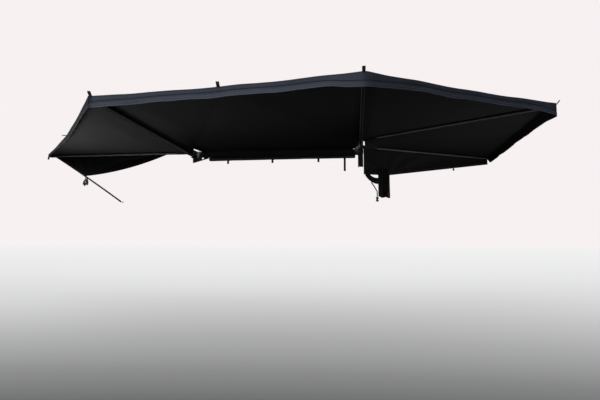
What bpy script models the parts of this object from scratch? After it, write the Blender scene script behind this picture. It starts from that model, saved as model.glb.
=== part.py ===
"""Free-standing side awning for a vehicle roof rack.

Five horizontal arms swing on two upright hubs at the ends of a backing beam.
Each arm carries its own gore of the canopy, and a flap hangs from each end arm.
+X runs to the rear of the vehicle, +Y towards the vehicle and +Z up.
The origin is on the back face of the beam, which bolts to the vehicle.
"""

import math

import bmesh
import bpy
from mathutils import Matrix, Vector

# Clearances between separate pieces
GAP = 0.0003
PIN_CLEARANCE = 0.0004
BOLT_CLEARANCE = 0.0004

# Backing beam, an aluminium extrusion that runs a little past both hubs
HUB_SPACING = 2.073
BEAM_OVERHANG = 0.026
BEAM_LENGTH = HUB_SPACING + 2 * BEAM_OVERHANG
BEAM_DEPTH = 0.025
BEAM_BOTTOM = -0.025
BEAM_HEIGHT = 0.070
BEAM_WALL = 0.0025
SLOT_HEIGHT = 0.025
SLOT_MOUTH = 0.009
SLOT_WIDTH = 0.018
SLOT_DEPTH = 0.006
SLOT_LIP = 0.003
KEDER_CENTRE = 0.0065
KEDER_BORE = 0.007
KEDER_MOUTH = 0.003
END_CAP_THICKNESS = 0.003
END_CAP_PLUG = 0.012

# Hubs
HUB_OFFSET = 0.075
HUB_BOLT_COLUMNS = (0.000, 0.055)
HUB_BOLT_ROWS = (0.012, 0.041)
PIN_RADIUS = 0.008
PIN_HEAD_RADIUS = 0.013
PIN_HEAD_HEIGHT = 0.006
NUT_ACROSS_FLATS = 0.024
NUT_HEIGHT = 0.008
EAR_THICKNESS = 0.006
EAR_RADIUS = 0.027
PLATE_THICKNESS = 0.006
PLATE_INNER = 0.075
PLATE_OUTER = 0.021
REAR_PLATE_OUTER = 0.036
REAR_PLATE_BOTTOM = -0.020
FOOT_BOTTOM = -0.183
FOOT_WIDTH = 0.060
FOOT_DEPTH = 0.040
FOOT_WALL = 0.004
GUSSET_DROP = 0.070
GUSSET_LENGTH = 0.205
GUSSET_HOLE_RADIUS = 0.0125
GUSSET_HOLE_REACH = 0.108
GUSSET_HOLE_DROP = 0.016

# Arms, square tubes that all lie level, one above the other on their hub
TUBE_WIDTH = 0.028
TUBE_HEIGHT = 0.032
TUBE_WALL = 0.002
TUBE_CORNER = 0.003
ARM_PITCH = 0.038
LOWEST_ARM = -0.030
ARM_REACH = 1.977
ARM_STACK = {"arm_2": 0, "arm_1": 1, "arm_5": 2, "arm_3": 3, "arm_4": 4}
ARM_AZIMUTH = {"arm_1": 178.3, "arm_2": 268.8, "arm_3": 267.2, "arm_4": 327.3, "arm_5": 384.8}
ARMS = ("arm_1", "arm_2", "arm_3", "arm_4", "arm_5")
BARREL_RADIUS = 0.021
NECK_HALF_WIDTH = 0.011
YOKE_START = 0.040
YOKE_END = 0.052
CHEEK_THICKNESS = 0.004
CHEEK_END = 0.225
ARM_BOLTS = (0.095, 0.190)
ARM_BOLT_RADIUS = 0.003
TIP_LENGTH = 0.062
TIP_PLUG = 0.035
TIP_RISE = 0.003
TIP_SETBACK = 0.018
TIP_FLAT = 0.010

# Canopy
FABRIC = 0.0015
STRIP_HALF = 0.021
HUB_CLEAR = 0.060
HEM_INSETS = {("arm_1", "arm_2"): 0.022, ("arm_2", "arm_3"): 0.018, ("arm_3", "arm_4"): 0.004,
              ("arm_4", "arm_5"): 0.004}
SAG = 0.030
HEM_SHARE = 0.27
VALANCE = 0.080
FRONT_VALANCE = 0.030
VALANCE_CORNERS = {"arm_1": 0.0, "arm_2": 0.010, "arm_3": 0.030, "arm_4": 0.030, "arm_5": 0.0}
VALANCE_CORNER_RUN = 0.45
SIDE_COLUMNS = 7
ROWS = 8
CENTRE_EDGE = HUB_SPACING / 2 - 0.0915
CENTRE_EDGE_DEPTH = 0.0125
PANEL_GAP = 0.0006

# End flaps, in the upright plane of their arm: distance from the hub and height
FLAP_OFFSET = STRIP_HALF + GAP
FRONT_FLAP_START = 0.330
FRONT_FLAP_CORNER = (1.455, -0.243)
FRONT_FLAP_TIP = (ARM_REACH - 0.070, 0.026)
FLAP_BELLY = 0.046
REAR_FLAP_START = 0.052
REAR_FLAP_HUB_DROP = -0.270
REAR_FLAP_CORNER = (0.390, -0.262)
REAR_FLAP_TIP = (ARM_REACH - 0.005, -0.018)
FLAP_TAB_REACH = 1.390
FLAP_FOLDS = 13
FLAP_FOLD_DEPTH = 0.014
FLAP_FOLD_RUN = 0.300
FLAP_HUB_RUN = 0.080
FLAP_COLUMNS = 32
FLAP_ROWS = 8

# Gathered end of the rear flap, with its buckles and tie-down strap
TAIL_START = 0.247
TAIL_WIDTH = 0.157
TAIL_DEPTH = 0.038
TAIL_TOP = -0.195
TAIL_BOTTOM = -0.545
TAIL_FOLDS = 4
CLOTH_EDGE = 0.004
SWAG_START = (0.088, -0.262)
SWAG_END_HEIGHT = -0.340
SWAG_WIDTHS = (0.052, 0.0765)
SWAG_DEPTH = 0.020
SWAG_FOLDS = 3
SWAG_SETBACK = 0.0965
SWAG_END_RUN = 0.012
BUCKLE_WIDTH = 0.034
BUCKLE_HEIGHT = 0.052
BUCKLE_DEPTH = 0.010
FACE_BUCKLE_PLACE = 0.725
FACE_BUCKLE_RISE = 0.012
FOLD_CREST = 0.97
STRAP_WIDTH = 0.025
STRAP_THICKNESS = 0.0016
TIE_WIDTH = 0.014
TIE_ROUTE = ((0.150, -0.3612), (0.190, -0.410), (0.230, -0.470), (0.230, -0.540))

# Travel cover, rolled up under the beam and held by webbing straps
ROLL_FRONT_CLEAR = 0.0075
ROLL_REAR_CLEAR = 0.0315
ROLL_FRONT = -HUB_SPACING / 2 - PLATE_OUTER + GUSSET_LENGTH + ROLL_FRONT_CLEAR
ROLL_REAR = HUB_SPACING / 2 - FOOT_WIDTH / 2 - ROLL_REAR_CLEAR
ROLL_RADIUS = 0.0205
ROLL_SWELL = 0.0055
ROLL_DEPTH = 0.020
COVER_STRAPS = {"cover_strap_1": (-0.600, 0.050), "cover_strap_2": (-0.040, 0.050),
                "cover_strap_3": (0.528, 0.050), "cover_strap_4": (0.847, 0.165)}

# Rack brackets
RACK_BRACKETS = {"rack_bracket_front": -HUB_SPACING / 2 + 0.2865,
                 "rack_bracket_rear": HUB_SPACING / 2 - 0.3365}
RACK_WIDTH = 0.060
RACK_THICKNESS = 0.005
RACK_REACH = 0.085
RACK_BOTTOM = -0.032
RACK_TOP = 0.042
RACK_SLOT_LENGTH = 0.034
RACK_SLOT_WIDTH = 0.009
RACK_BOLT_SPACING = 0.032
M8_RADIUS = 0.004

# Webbing tabs on the hem, and the guy strap with its fittings
TAB_WIDTH = 0.025
TAB_LENGTH = 0.042
TAB_THICKNESS = 0.0032
TAB_DROP = 0.004
TAB_FOLD_CLEAR = 0.006
LONG_TAB_CLEAR = 0.028
TAB_LIFT = 50.0
FRONT_TAB_LENGTH = 0.060
REAR_TAB_LENGTH = 0.034
CORNER_TAB_DROP = -80.0
SIDE_TAB_DROP = -10.0
GUY_WIDTH = 0.020
GUY_POINTS = 30
GUY_LIFT = 0.0008
GUY_TOP = (ARM_REACH - 0.075, 0.024)
GUY_CORNER = (1.450, -0.256)
GUY_END = (0.952, -0.583)
HOOK_WIRE = 0.003
HOOK_EYE = 0.009
TENSIONER_SETBACK = 0.006
TENSIONER_TILT = 13.0
TENSIONER_NECK = (0.015, 0.034)
TENSIONER_BODY = (0.030, 0.100)
TENSIONER_THICKNESS = 0.005
TENSIONER_WINDOW = (0.008, 0.013)

ROUND = 24

HUBS = {"front": Vector((-HUB_SPACING / 2, -HUB_OFFSET, 0.0)),
        "rear": Vector((HUB_SPACING / 2, -HUB_OFFSET, 0.0))}
ARM_HUB = {"arm_1": "front", "arm_2": "front", "arm_3": "rear", "arm_4": "rear", "arm_5": "rear"}
HUB_ARMS = {hub: [arm for arm in ARMS if ARM_HUB[arm] == hub] for hub in HUBS}
BEAM_TOP = BEAM_BOTTOM + BEAM_HEIGHT
ARM_SPACE = ARM_PITCH - TUBE_HEIGHT


def arm_level(arm):
    """Height of the underside of an arm."""
    return LOWEST_ARM + ARM_PITCH * ARM_STACK[arm]


def arm_matrix(arm):
    """The arm's own frame: its hub's axis, +X out along the arm."""
    turn = Matrix.Rotation(math.radians(ARM_AZIMUTH[arm]), 4, "Z")
    return Matrix.Translation(HUBS[ARM_HUB[arm]]) @ turn


def smooth_step(value):
    value = min(1.0, max(0.0, value))
    return value * value * (3 - 2 * value)


# Materials

def material(name, colour, roughness, metallic=0.0):
    made = bpy.data.materials.new(name)
    made.use_nodes = True
    shader = made.node_tree.nodes["Principled BSDF"]
    shader.inputs["Base Color"].default_value = (*colour, 1.0)
    shader.inputs["Roughness"].default_value = roughness
    shader.inputs["Metallic"].default_value = metallic
    return made


# Mesh tools

def clear_scene():
    for obj in list(bpy.data.objects):
        bpy.data.objects.remove(obj, do_unlink=True)


def circle(radius, centre=(0.0, 0.0), steps=ROUND, start=0.0, sweep=360.0):
    """Points on a circle, or on an arc of it with both ends."""
    count = steps if sweep == 360.0 else steps + 1
    turns = [math.radians(start + sweep * i / steps) for i in range(count)]
    return [(centre[0] + radius * math.cos(a), centre[1] + radius * math.sin(a)) for a in turns]


def prism(outline, bottom, top, holes=()):
    """A solid with this outline in X and Y, less its holes, from bottom to top along Z."""
    shape = bmesh.new()
    edges = []
    for loop in (outline, *holes):
        ring = [shape.verts.new((x, y, bottom)) for x, y in loop]
        edges += [shape.edges.new((ring[i - 1], ring[i])) for i in range(len(ring))]
    filled = bmesh.ops.triangle_fill(shape, use_beauty=True, edges=edges)
    faces = [item for item in filled["geom"] if isinstance(item, bmesh.types.BMFace)]
    raised = bmesh.ops.extrude_face_region(shape, geom=faces)
    upper = [item for item in raised["geom"] if isinstance(item, bmesh.types.BMVert)]
    bmesh.ops.translate(shape, verts=upper, vec=(0, 0, top - bottom))
    bmesh.ops.recalc_face_normals(shape, faces=shape.faces)
    return shape


def box(low, high):
    outline = [(low[0], low[1]), (high[0], low[1]), (high[0], high[1]), (low[0], high[1])]
    return prism(outline, low[2], high[2])


def along_x(shape):
    """Turns a prism drawn in (Y, Z) so that its length runs along X."""
    turn = Matrix(((0, 0, 1, 0), (1, 0, 0, 0), (0, 1, 0, 0), (0, 0, 0, 1)))
    bmesh.ops.transform(shape, matrix=turn, verts=shape.verts)
    return shape


def along_y(shape):
    """Turns a prism drawn in (X, Z) so that its length runs along Y."""
    turn = Matrix(((1, 0, 0, 0), (0, 0, 1, 0), (0, 1, 0, 0), (0, 0, 0, 1)))
    bmesh.ops.transform(shape, matrix=turn, verts=shape.verts)
    bmesh.ops.recalc_face_normals(shape, faces=shape.faces)
    return shape


def rod(radius, start, end, steps=ROUND):
    """A round bar between two points."""
    axis = Vector(end) - Vector(start)
    shape = prism(circle(radius, steps=steps), 0.0, axis.length)
    turn = axis.to_track_quat("Z", "Y").to_matrix().to_4x4()
    bmesh.ops.transform(shape, matrix=Matrix.Translation(Vector(start)) @ turn, verts=shape.verts)
    return shape


def hexagon(across_flats, centre=(0.0, 0.0)):
    return circle(across_flats / math.sqrt(3), centre, 6)


def to_mesh(name, *shapes):
    """Puts one or more separate bodies into one mesh."""
    mesh = bpy.data.meshes.new(name)
    whole = bmesh.new()
    for shape in shapes:
        part = bpy.data.meshes.new(name + "_part")
        shape.to_mesh(part)
        whole.from_mesh(part)
        bpy.data.meshes.remove(part)
        shape.free()
    whole.to_mesh(mesh)
    whole.free()
    return mesh


def combined(name, first, others, operation):
    """One mesh made by joining the others to the first, or cutting them from it."""
    base = bpy.data.objects.new(name, to_mesh(name, first))
    bpy.context.scene.collection.objects.link(base)
    tools = []
    for shape in others:
        tool = bpy.data.objects.new(name + "_tool", to_mesh(name + "_tool", shape))
        bpy.context.scene.collection.objects.link(tool)
        modifier = base.modifiers.new("combine", "BOOLEAN")
        modifier.operation = operation
        modifier.object = tool
        modifier.solver = "EXACT"
        tools.append(tool)
    bpy.context.view_layer.update()
    evaluated = base.evaluated_get(bpy.context.evaluated_depsgraph_get())
    mesh = bpy.data.meshes.new_from_object(evaluated)
    mesh.name = name
    for obj in (base, *tools):
        bpy.data.objects.remove(obj, do_unlink=True)
    return mesh


def cut(name, first, cutters):
    return combined(name, first, cutters, "DIFFERENCE")


def join(name, first, others):
    return combined(name, first, others, "UNION")


def as_shape(mesh):
    shape = bmesh.new()
    shape.from_mesh(mesh)
    return shape


def place(name, mesh, finish, arm=None, height=0.0, smooth=True):
    """Adds an object, on its arm's pivot where it moves."""
    obj = bpy.data.objects.new(name, mesh)
    bpy.context.scene.collection.objects.link(obj)
    if not mesh.materials:
        mesh.materials.append(finish)
    if smooth:
        mesh.shade_smooth()
        mesh.set_sharp_from_angle(angle=math.radians(35))
    if arm:
        obj.parent = bpy.data.objects[arm + "_pivot"]
    obj.location = (0.0, 0.0, height)
    return obj


def add_pivots():
    for arm in ARMS:
        pivot = bpy.data.objects.new(arm + "_pivot", None)
        bpy.context.scene.collection.objects.link(pivot)
        pivot.location = HUBS[ARM_HUB[arm]]
        pivot.rotation_euler = (0.0, 0.0, math.radians(ARM_AZIMUTH[arm]))


# Beam

def beam_profile():
    """Outline of the extrusion in Y and Z, with its T-slot behind and keder track on top."""
    back = 0.0
    front = -BEAM_DEPTH
    mouth = SLOT_MOUTH / 2
    width = SLOT_WIDTH / 2
    slot_back = back - SLOT_LIP
    slot_front = slot_back - SLOT_DEPTH
    low = SLOT_HEIGHT - width
    high = SLOT_HEIGHT + width
    outline = [(front, BEAM_BOTTOM), (back, BEAM_BOTTOM)]
    outline += [(back, SLOT_HEIGHT - mouth), (slot_back, SLOT_HEIGHT - mouth), (slot_back, low)]
    outline += [(slot_front, low), (slot_front, high), (slot_back, high)]
    outline += [(slot_back, SLOT_HEIGHT + mouth), (back, SLOT_HEIGHT + mouth), (back, BEAM_TOP)]
    bore = KEDER_BORE / 2
    neck = math.degrees(math.asin(KEDER_MOUTH / 2 / bore))
    centre = (front + KEDER_CENTRE, BEAM_TOP - bore - BEAM_WALL / 2)
    outline += [(centre[0] + KEDER_MOUTH / 2, BEAM_TOP)]
    outline += circle(bore, centre, 12, 90 - neck, -(360 - 2 * neck))
    outline += [(centre[0] - KEDER_MOUTH / 2, BEAM_TOP), (front, BEAM_TOP)]
    return outline


def beam_cavities():
    """The two hollow cells of the extrusion."""
    left = -BEAM_DEPTH + BEAM_WALL
    right = -BEAM_WALL
    slot_front = -SLOT_LIP - SLOT_DEPTH - BEAM_WALL
    middle = SLOT_HEIGHT - SLOT_WIDTH / 2 - BEAM_WALL
    upper = BEAM_TOP - KEDER_BORE - 2 * BEAM_WALL
    lower_cell = [(left, BEAM_BOTTOM + BEAM_WALL), (right, BEAM_BOTTOM + BEAM_WALL), (right, middle),
                  (left, middle)]
    upper_cell = [(left, middle + BEAM_WALL), (slot_front, middle + BEAM_WALL), (slot_front, upper),
                  (left, upper)]
    return lower_cell, upper_cell


def hub_bolt_places(hub):
    """Centres, in X and Z, of the bolts that hold a hub bracket to the beam."""
    inward = 1 if hub == "front" else -1
    columns = [HUBS[hub].x + inward * reach for reach in HUB_BOLT_COLUMNS]
    return [(x, BEAM_BOTTOM + row) for x in columns for row in HUB_BOLT_ROWS]


def make_beam(finish):
    half = BEAM_LENGTH / 2
    extrusion = along_x(prism(beam_profile(), -half, half, beam_cavities()))
    bmesh.ops.recalc_face_normals(extrusion, faces=extrusion.faces)
    drills = []
    for hub in HUBS:
        for x, z in hub_bolt_places(hub):
            front = (x, -BEAM_DEPTH - BEAM_WALL, z)
            inside = (x, -BEAM_DEPTH + 2 * BEAM_WALL, z)
            drills.append(rod(M8_RADIUS + BOLT_CLEARANCE, front, inside, 16))
    place("backing_beam", cut("backing_beam", extrusion, drills), finish)


def make_end_caps(finish):
    for name, side in (("beam_end_cap_front", -1), ("beam_end_cap_rear", 1)):
        inner = BEAM_LENGTH / 2 + GAP
        face = [(-BEAM_DEPTH, BEAM_BOTTOM), (0.0, BEAM_BOTTOM), (0.0, BEAM_TOP), (-BEAM_DEPTH, BEAM_TOP)]
        plate = along_x(prism(face, inner, inner + END_CAP_THICKNESS))
        lower = beam_cavities()[0]
        (left, low), (right, _), (_, high), _ = lower
        ring = [(left + GAP, low + GAP), (right - GAP, low + GAP), (right - GAP, high - GAP),
                (left + GAP, high - GAP)]
        plug = along_x(prism(ring, inner - END_CAP_PLUG, inner + END_CAP_THICKNESS / 2))
        mesh = join(name, plate, [plug])
        if side < 0:
            mesh.transform(Matrix.Scale(-1, 4, (1, 0, 0)))
            mesh.flip_normals()
        place(name, mesh, finish)


# Hubs

def stack_limits(hub):
    """Lowest and highest point of the knuckles on a hub."""
    levels = [arm_level(arm) for arm in HUB_ARMS[hub]]
    return min(levels), max(levels) + TUBE_HEIGHT


def ear(hub, bottom):
    """A lug that holds the pivot pin, rounded in front and square behind."""
    axis = HUBS[hub]
    back = -BEAM_DEPTH - GAP - PLATE_THICKNESS / 2
    nose = circle(EAR_RADIUS, (axis.x, axis.y), 16, 180, 180)
    outline = nose + [(axis.x + EAR_RADIUS, back), (axis.x - EAR_RADIUS, back)]
    bore = circle(PIN_RADIUS + PIN_CLEARANCE, (axis.x, axis.y))
    return prism(outline, bottom, bottom + EAR_THICKNESS, [bore])


def back_plate(hub, bottom, top):
    """The upright plate behind a hub, flat on the front of the beam."""
    inward = 1 if hub == "front" else -1
    outer = PLATE_OUTER if hub == "front" else REAR_PLATE_OUTER
    edges = sorted((HUBS[hub].x + inward * PLATE_INNER, HUBS[hub].x - inward * outer))
    front = -BEAM_DEPTH - GAP - PLATE_THICKNESS
    return box((edges[0], front, bottom), (edges[1], front + PLATE_THICKNESS, top))


def plate_drills(hub):
    front = -BEAM_DEPTH - 2 * PLATE_THICKNESS
    return [rod(M8_RADIUS + BOLT_CLEARANCE, (x, front, z), (x, -BEAM_DEPTH + PLATE_THICKNESS, z), 16)
            for x, z in hub_bolt_places(hub)]


def ear_levels(hub):
    """Underside of the lower ear and of the upper ear."""
    low, high = stack_limits(hub)
    return low - ARM_SPACE / 2 - EAR_THICKNESS, high + ARM_SPACE / 2


def make_front_bracket(finish):
    low, high = ear_levels("front")
    plate = back_plate("front", low, high + EAR_THICKNESS)
    front = -BEAM_DEPTH - GAP - PLATE_THICKNESS
    outer = HUBS["front"].x - PLATE_OUTER
    top = BEAM_BOTTOM + PLATE_THICKNESS
    outline = [(outer, top), (outer, BEAM_BOTTOM - GUSSET_DROP), (outer + 0.020, BEAM_BOTTOM - GUSSET_DROP)]
    outline += [(outer + GUSSET_LENGTH, BEAM_BOTTOM - GUSSET_DROP / 4), (outer + GUSSET_LENGTH, top)]
    centre = (HUBS["front"].x + GUSSET_HOLE_REACH, BEAM_BOTTOM - GUSSET_HOLE_DROP)
    window = circle(GUSSET_HOLE_RADIUS, centre)
    gusset = along_y(prism(outline, front, front + PLATE_THICKNESS, [window]))
    solid = join("front_plate", plate, [gusset, ear("front", low), ear("front", high)])
    place("front_hub_bracket", cut("front_hub_bracket", as_shape(solid), plate_drills("front")), finish)


def make_rear_bracket(finish):
    low, high = ear_levels("rear")
    plate = back_plate("rear", REAR_PLATE_BOTTOM, high + EAR_THICKNESS)
    axis = HUBS["rear"]
    half = FOOT_WIDTH / 2
    back = -BEAM_DEPTH - GAP
    front = back - FOOT_DEPTH
    outline = [(axis.x - half, back), (axis.x - half, front), (axis.x + half, front), (axis.x + half, back)]
    outline += [(axis.x + half - FOOT_WALL, back), (axis.x + half - FOOT_WALL, front + FOOT_WALL)]
    outline += [(axis.x - half + FOOT_WALL, front + FOOT_WALL), (axis.x - half + FOOT_WALL, back)]
    channel = prism(outline, FOOT_BOTTOM, REAR_PLATE_BOTTOM + PLATE_THICKNESS)
    web = box((axis.x - half, back - PLATE_THICKNESS, REAR_PLATE_BOTTOM - 0.030),
              (axis.x + PLATE_OUTER, back, REAR_PLATE_BOTTOM + PLATE_THICKNESS))
    shelf = box((axis.x - half, front, REAR_PLATE_BOTTOM), (axis.x + PLATE_OUTER, back,
                                                         REAR_PLATE_BOTTOM + PLATE_THICKNESS))
    solid = join("rear_plate", plate, [channel, web, shelf, ear("rear", low), ear("rear", high)])
    place("rear_hub_bracket", cut("rear_hub_bracket", as_shape(solid), plate_drills("rear")), finish)


def make_pins(steel, plastic):
    """The pin through each hub, its nut below and the spacing washers between its knuckles."""
    for hub, axis in HUBS.items():
        low, high = ear_levels(hub)
        top = high + EAR_THICKNESS + GAP
        tip = low - GAP - NUT_HEIGHT - 0.003
        head = rod(PIN_HEAD_RADIUS, (axis.x, axis.y, top), (axis.x, axis.y, top + PIN_HEAD_HEIGHT))
        shank = rod(PIN_RADIUS, (axis.x, axis.y, tip), (axis.x, axis.y, top + PIN_HEAD_HEIGHT / 2))
        place(hub + "_pivot_pin", join(hub + "_pivot_pin", head, [shank]), steel)
        bore = circle(PIN_RADIUS + GAP, (axis.x, axis.y))
        nut_top = low - GAP
        nut = prism(hexagon(NUT_ACROSS_FLATS, (axis.x, axis.y)), nut_top - NUT_HEIGHT, nut_top, [bore])
        place(hub + "_pivot_nut", to_mesh(hub + "_pivot_nut", nut), steel)
        levels = sorted(arm_level(arm) for arm in HUB_ARMS[hub])
        for number, level in enumerate(levels[:-1], 1):
            name = f"{hub}_hub_washer_{number}"
            ring = circle(BARREL_RADIUS - 0.002, (axis.x, axis.y))
            washer = prism(ring, level + TUBE_HEIGHT + GAP, level + ARM_PITCH - GAP, [bore])
            place(name, to_mesh(name, washer), plastic)


# Arms, drawn along +X from the hub's axis with their underside at height 0

def arm_drills(reach):
    """Cutters for the cross bolts of an arm, as long as the width across its fork."""
    middle = TUBE_HEIGHT / 2
    return [rod(ARM_BOLT_RADIUS + BOLT_CLEARANCE, (x, -reach, middle), (x, reach, middle), 16)
            for x in ARM_BOLTS]


def knuckle_mesh():
    """A barrel on the pin, and a fork whose cheeks hold the end of the tube."""
    inner = TUBE_WIDTH / 2 + GAP
    outer = inner + CHEEK_THICKNESS
    angle = math.degrees(math.asin(NECK_HALF_WIDTH / BARREL_RADIUS))
    outline = circle(BARREL_RADIUS, (0, 0), 20, angle, 360 - 2 * angle)
    outline += [(YOKE_START, -NECK_HALF_WIDTH), (YOKE_START + 0.004, -outer), (CHEEK_END, -outer)]
    outline += [(CHEEK_END, -inner), (YOKE_END, -inner), (YOKE_END, inner), (CHEEK_END, inner)]
    outline += [(CHEEK_END, outer), (YOKE_START + 0.004, outer), (YOKE_START, NECK_HALF_WIDTH)]
    fork = prism(outline, 0.0, TUBE_HEIGHT, [circle(PIN_RADIUS + PIN_CLEARANCE)])
    return cut("knuckle", fork, arm_drills(2 * outer))


def tube_mesh():
    """A tube with rounded corners and its two cross holes."""
    half = TUBE_WIDTH / 2
    corner = TUBE_CORNER
    centres = ((half, TUBE_HEIGHT), (-half, TUBE_HEIGHT), (-half, 0.0), (half, 0.0))
    outline = []
    for turn, (y, z) in enumerate(centres):
        centre = (y - math.copysign(corner, y), z + (corner if z == 0.0 else -corner))
        outline += circle(corner, centre, 3, turn * 90, 90)
    inner = half - TUBE_WALL
    roof = TUBE_HEIGHT - TUBE_WALL
    bore = [(-inner, TUBE_WALL), (inner, TUBE_WALL), (inner, roof), (-inner, roof)]
    tube = along_x(prism(outline, YOKE_END + GAP, tube_end(), [bore]))
    bmesh.ops.recalc_face_normals(tube, faces=tube.faces)
    return cut("tube", tube, arm_drills(TUBE_WIDTH))


def tube_end():
    return ARM_REACH - TIP_SETBACK - TIP_LENGTH + TIP_PLUG / 2


def tip_mesh():
    """A moulded plug in the tube's end, with a low ramp under the canopy's corner."""
    start = tube_end() + GAP
    end = ARM_REACH - TIP_SETBACK
    half = TUBE_WIDTH / 2
    top = TUBE_HEIGHT + TIP_RISE
    side = [(start, 0.0), (end - 0.006, 0.0), (end, 0.006), (end, top - 0.004), (end - 0.004, top)]
    side += [(end - TIP_FLAT, top), (start + 0.004, TUBE_HEIGHT), (start, TUBE_HEIGHT)]
    nose = along_y(prism(side, -half, half))
    inner = half - TUBE_WALL - GAP
    low = TUBE_WALL + GAP
    plug = box((start - TIP_PLUG, -inner, low), (start + 0.002, inner, TUBE_HEIGHT - low))
    return join("tip", nose, [plug])


def make_arms(paint, plastic):
    meshes = {"knuckle": (knuckle_mesh(), paint), "tube": (tube_mesh(), paint), "tip": (tip_mesh(), plastic)}
    for arm in ARMS:
        for piece, (mesh, finish) in meshes.items():
            place(f"{arm}_{piece}", mesh, finish, arm, arm_level(arm))


# Canopy

def lift(reach):
    """How far the canopy's underside stands above the tube, at a distance from the hub."""
    ramp_start = tube_end() + GAP
    ramp_end = ARM_REACH - TIP_SETBACK - TIP_FLAT
    return GAP + TIP_RISE * min(1.0, max(0.0, (reach - ramp_start) / (ramp_end - ramp_start)))


def arm_point(arm, reach, across=0.0):
    """A point on the canopy's underside over an arm."""
    place_on = arm_matrix(arm) @ Vector((reach, across, 0.0))
    return Vector((place_on.x, place_on.y, arm_level(arm) + TUBE_HEIGHT + lift(reach)))


def row_shares():
    """Rows from the hub to the hem: even, then one at each end of the tip's ramp and the hem."""
    run = ARM_REACH - HUB_CLEAR
    ramp_start = (tube_end() + GAP - HUB_CLEAR) / run
    ramp_end = (ARM_REACH - TIP_SETBACK - TIP_FLAT - HUB_CLEAR) / run
    return [ramp_start * i / ROWS for i in range(ROWS + 1)] + [ramp_end, 1.0]


def reach_at(share):
    return HUB_CLEAR + (ARM_REACH - HUB_CLEAR) * share


def flat_unit(start, end):
    run = Vector((end.x - start.x, end.y - start.y, 0.0))
    return run.normalized()


def belly(share):
    """How the sag grows from nothing at the hub to the panel's middle and its hem."""
    return 4 * share * (1 - share) * (1 - HEM_SHARE) + HEM_SHARE * share


def hem_normal(arm, neighbour):
    """The outward direction of the hem between two arms."""
    chord = flat_unit(arm_point(arm, ARM_REACH), arm_point(neighbour, ARM_REACH))
    normal = Vector((chord.y, -chord.x, 0.0))
    outward = arm_point(arm, ARM_REACH) - HUBS[ARM_HUB[arm]]
    return normal if normal.dot(outward) > 0 else -normal


def side_of(arm, neighbour):
    """+1 where the neighbour lies anticlockwise of the arm, seen from above, else -1."""
    local = arm_matrix(arm).inverted() @ arm_point(neighbour, ARM_REACH)
    return 1 if local.y > 0 else -1


def panel_point(arm, neighbour, share, across):
    """The underside of the half panel from an arm (across 0) to the fold at mid-panel (across 1)."""
    side = side_of(arm, neighbour)
    hub = HUBS[ARM_HUB[arm]]
    middle = (arm_point(arm, ARM_REACH) + arm_point(neighbour, ARM_REACH)) / 2
    fold_start = hub + flat_unit(hub, middle) * HUB_CLEAR
    edge = arm_point(arm, reach_at(share), side * STRIP_HALF)
    fold = fold_start.lerp(middle, share)
    toward_arm = flat_unit(fold, edge) if share > 0 else flat_unit(fold_start, edge)
    fold = fold + toward_arm * PANEL_GAP / 2
    place_at = edge.lerp(fold, across)
    part = across / 2
    arch = 4 * part * (1 - part)
    inset = HEM_INSETS[tuple(sorted((arm, neighbour)))]
    place_at -= hem_normal(arm, neighbour) * inset * arch * share * share
    own = arm_level(arm) + TUBE_HEIGHT + lift(reach_at(share))
    other = arm_level(neighbour) + TUBE_HEIGHT + lift(reach_at(share))
    place_at.z = own + (other - own) * part - SAG * arch * belly(share)
    return place_at


def valance_depth(arm, neighbour, across):
    """Depth of the hem strip: deeper at the arm tips, and shallow at the foremost corner."""
    depth = VALANCE
    if {arm, neighbour} == {"arm_1", "arm_2"}:
        part = across / 2 if arm == "arm_1" else 1 - across / 2
        depth = FRONT_VALANCE + (VALANCE - FRONT_VALANCE) * part
    return depth + VALANCE_CORNERS[arm] * max(0.0, 1 - across / VALANCE_CORNER_RUN) ** 2


def close_sheet(shape, lower, upper):
    """Faces of a sheet with a grid of corners on each side, and of its rim."""
    rows = len(lower)
    columns = len(lower[0])
    for r in range(rows - 1):
        for c in range(columns - 1):
            shape.faces.new((lower[r][c], lower[r][c + 1], lower[r + 1][c + 1], lower[r + 1][c]))
            shape.faces.new((upper[r][c], upper[r + 1][c], upper[r + 1][c + 1], upper[r][c + 1]))
    rim = [(0, c) for c in range(columns)] + [(r, columns - 1) for r in range(1, rows)]
    rim += [(rows - 1, c) for c in range(columns - 2, -1, -1)] + [(r, 0) for r in range(rows - 2, 0, -1)]
    for index, (r, c) in enumerate(rim):
        nr, nc = rim[(index + 1) % len(rim)]
        shape.faces.new((lower[nr][nc], lower[r][c], upper[r][c], upper[nr][nc]))
    bmesh.ops.recalc_face_normals(shape, faces=shape.faces)


def sheet_solid(grid, down, outward):
    """A closed sheet from rows of points, with a strip that hangs from its last row.

    The sheet has its thickness upwards, and the strip outwards."""
    shape = bmesh.new()
    lower = [[shape.verts.new(p) for p in row] for row in grid]
    upper = []
    last = len(grid) - 1
    for number, row in enumerate(grid):
        rise = Vector((0, 0, FABRIC))
        if down and number == last:
            upper.append([shape.verts.new(p + rise + outward[i] * FABRIC) for i, p in enumerate(row)])
        else:
            upper.append([shape.verts.new(p + rise) for p in row])
    for step in (0.5, 1.0) if down else ():
        lower.append([shape.verts.new(p - Vector((0, 0, down[i] * step))) for i, p in enumerate(grid[last])])
        upper.append([shape.verts.new(p + outward[i] * FABRIC - Vector((0, 0, down[i] * step)))
                      for i, p in enumerate(grid[last])])
    close_sheet(shape, lower, upper)
    return shape


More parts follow.
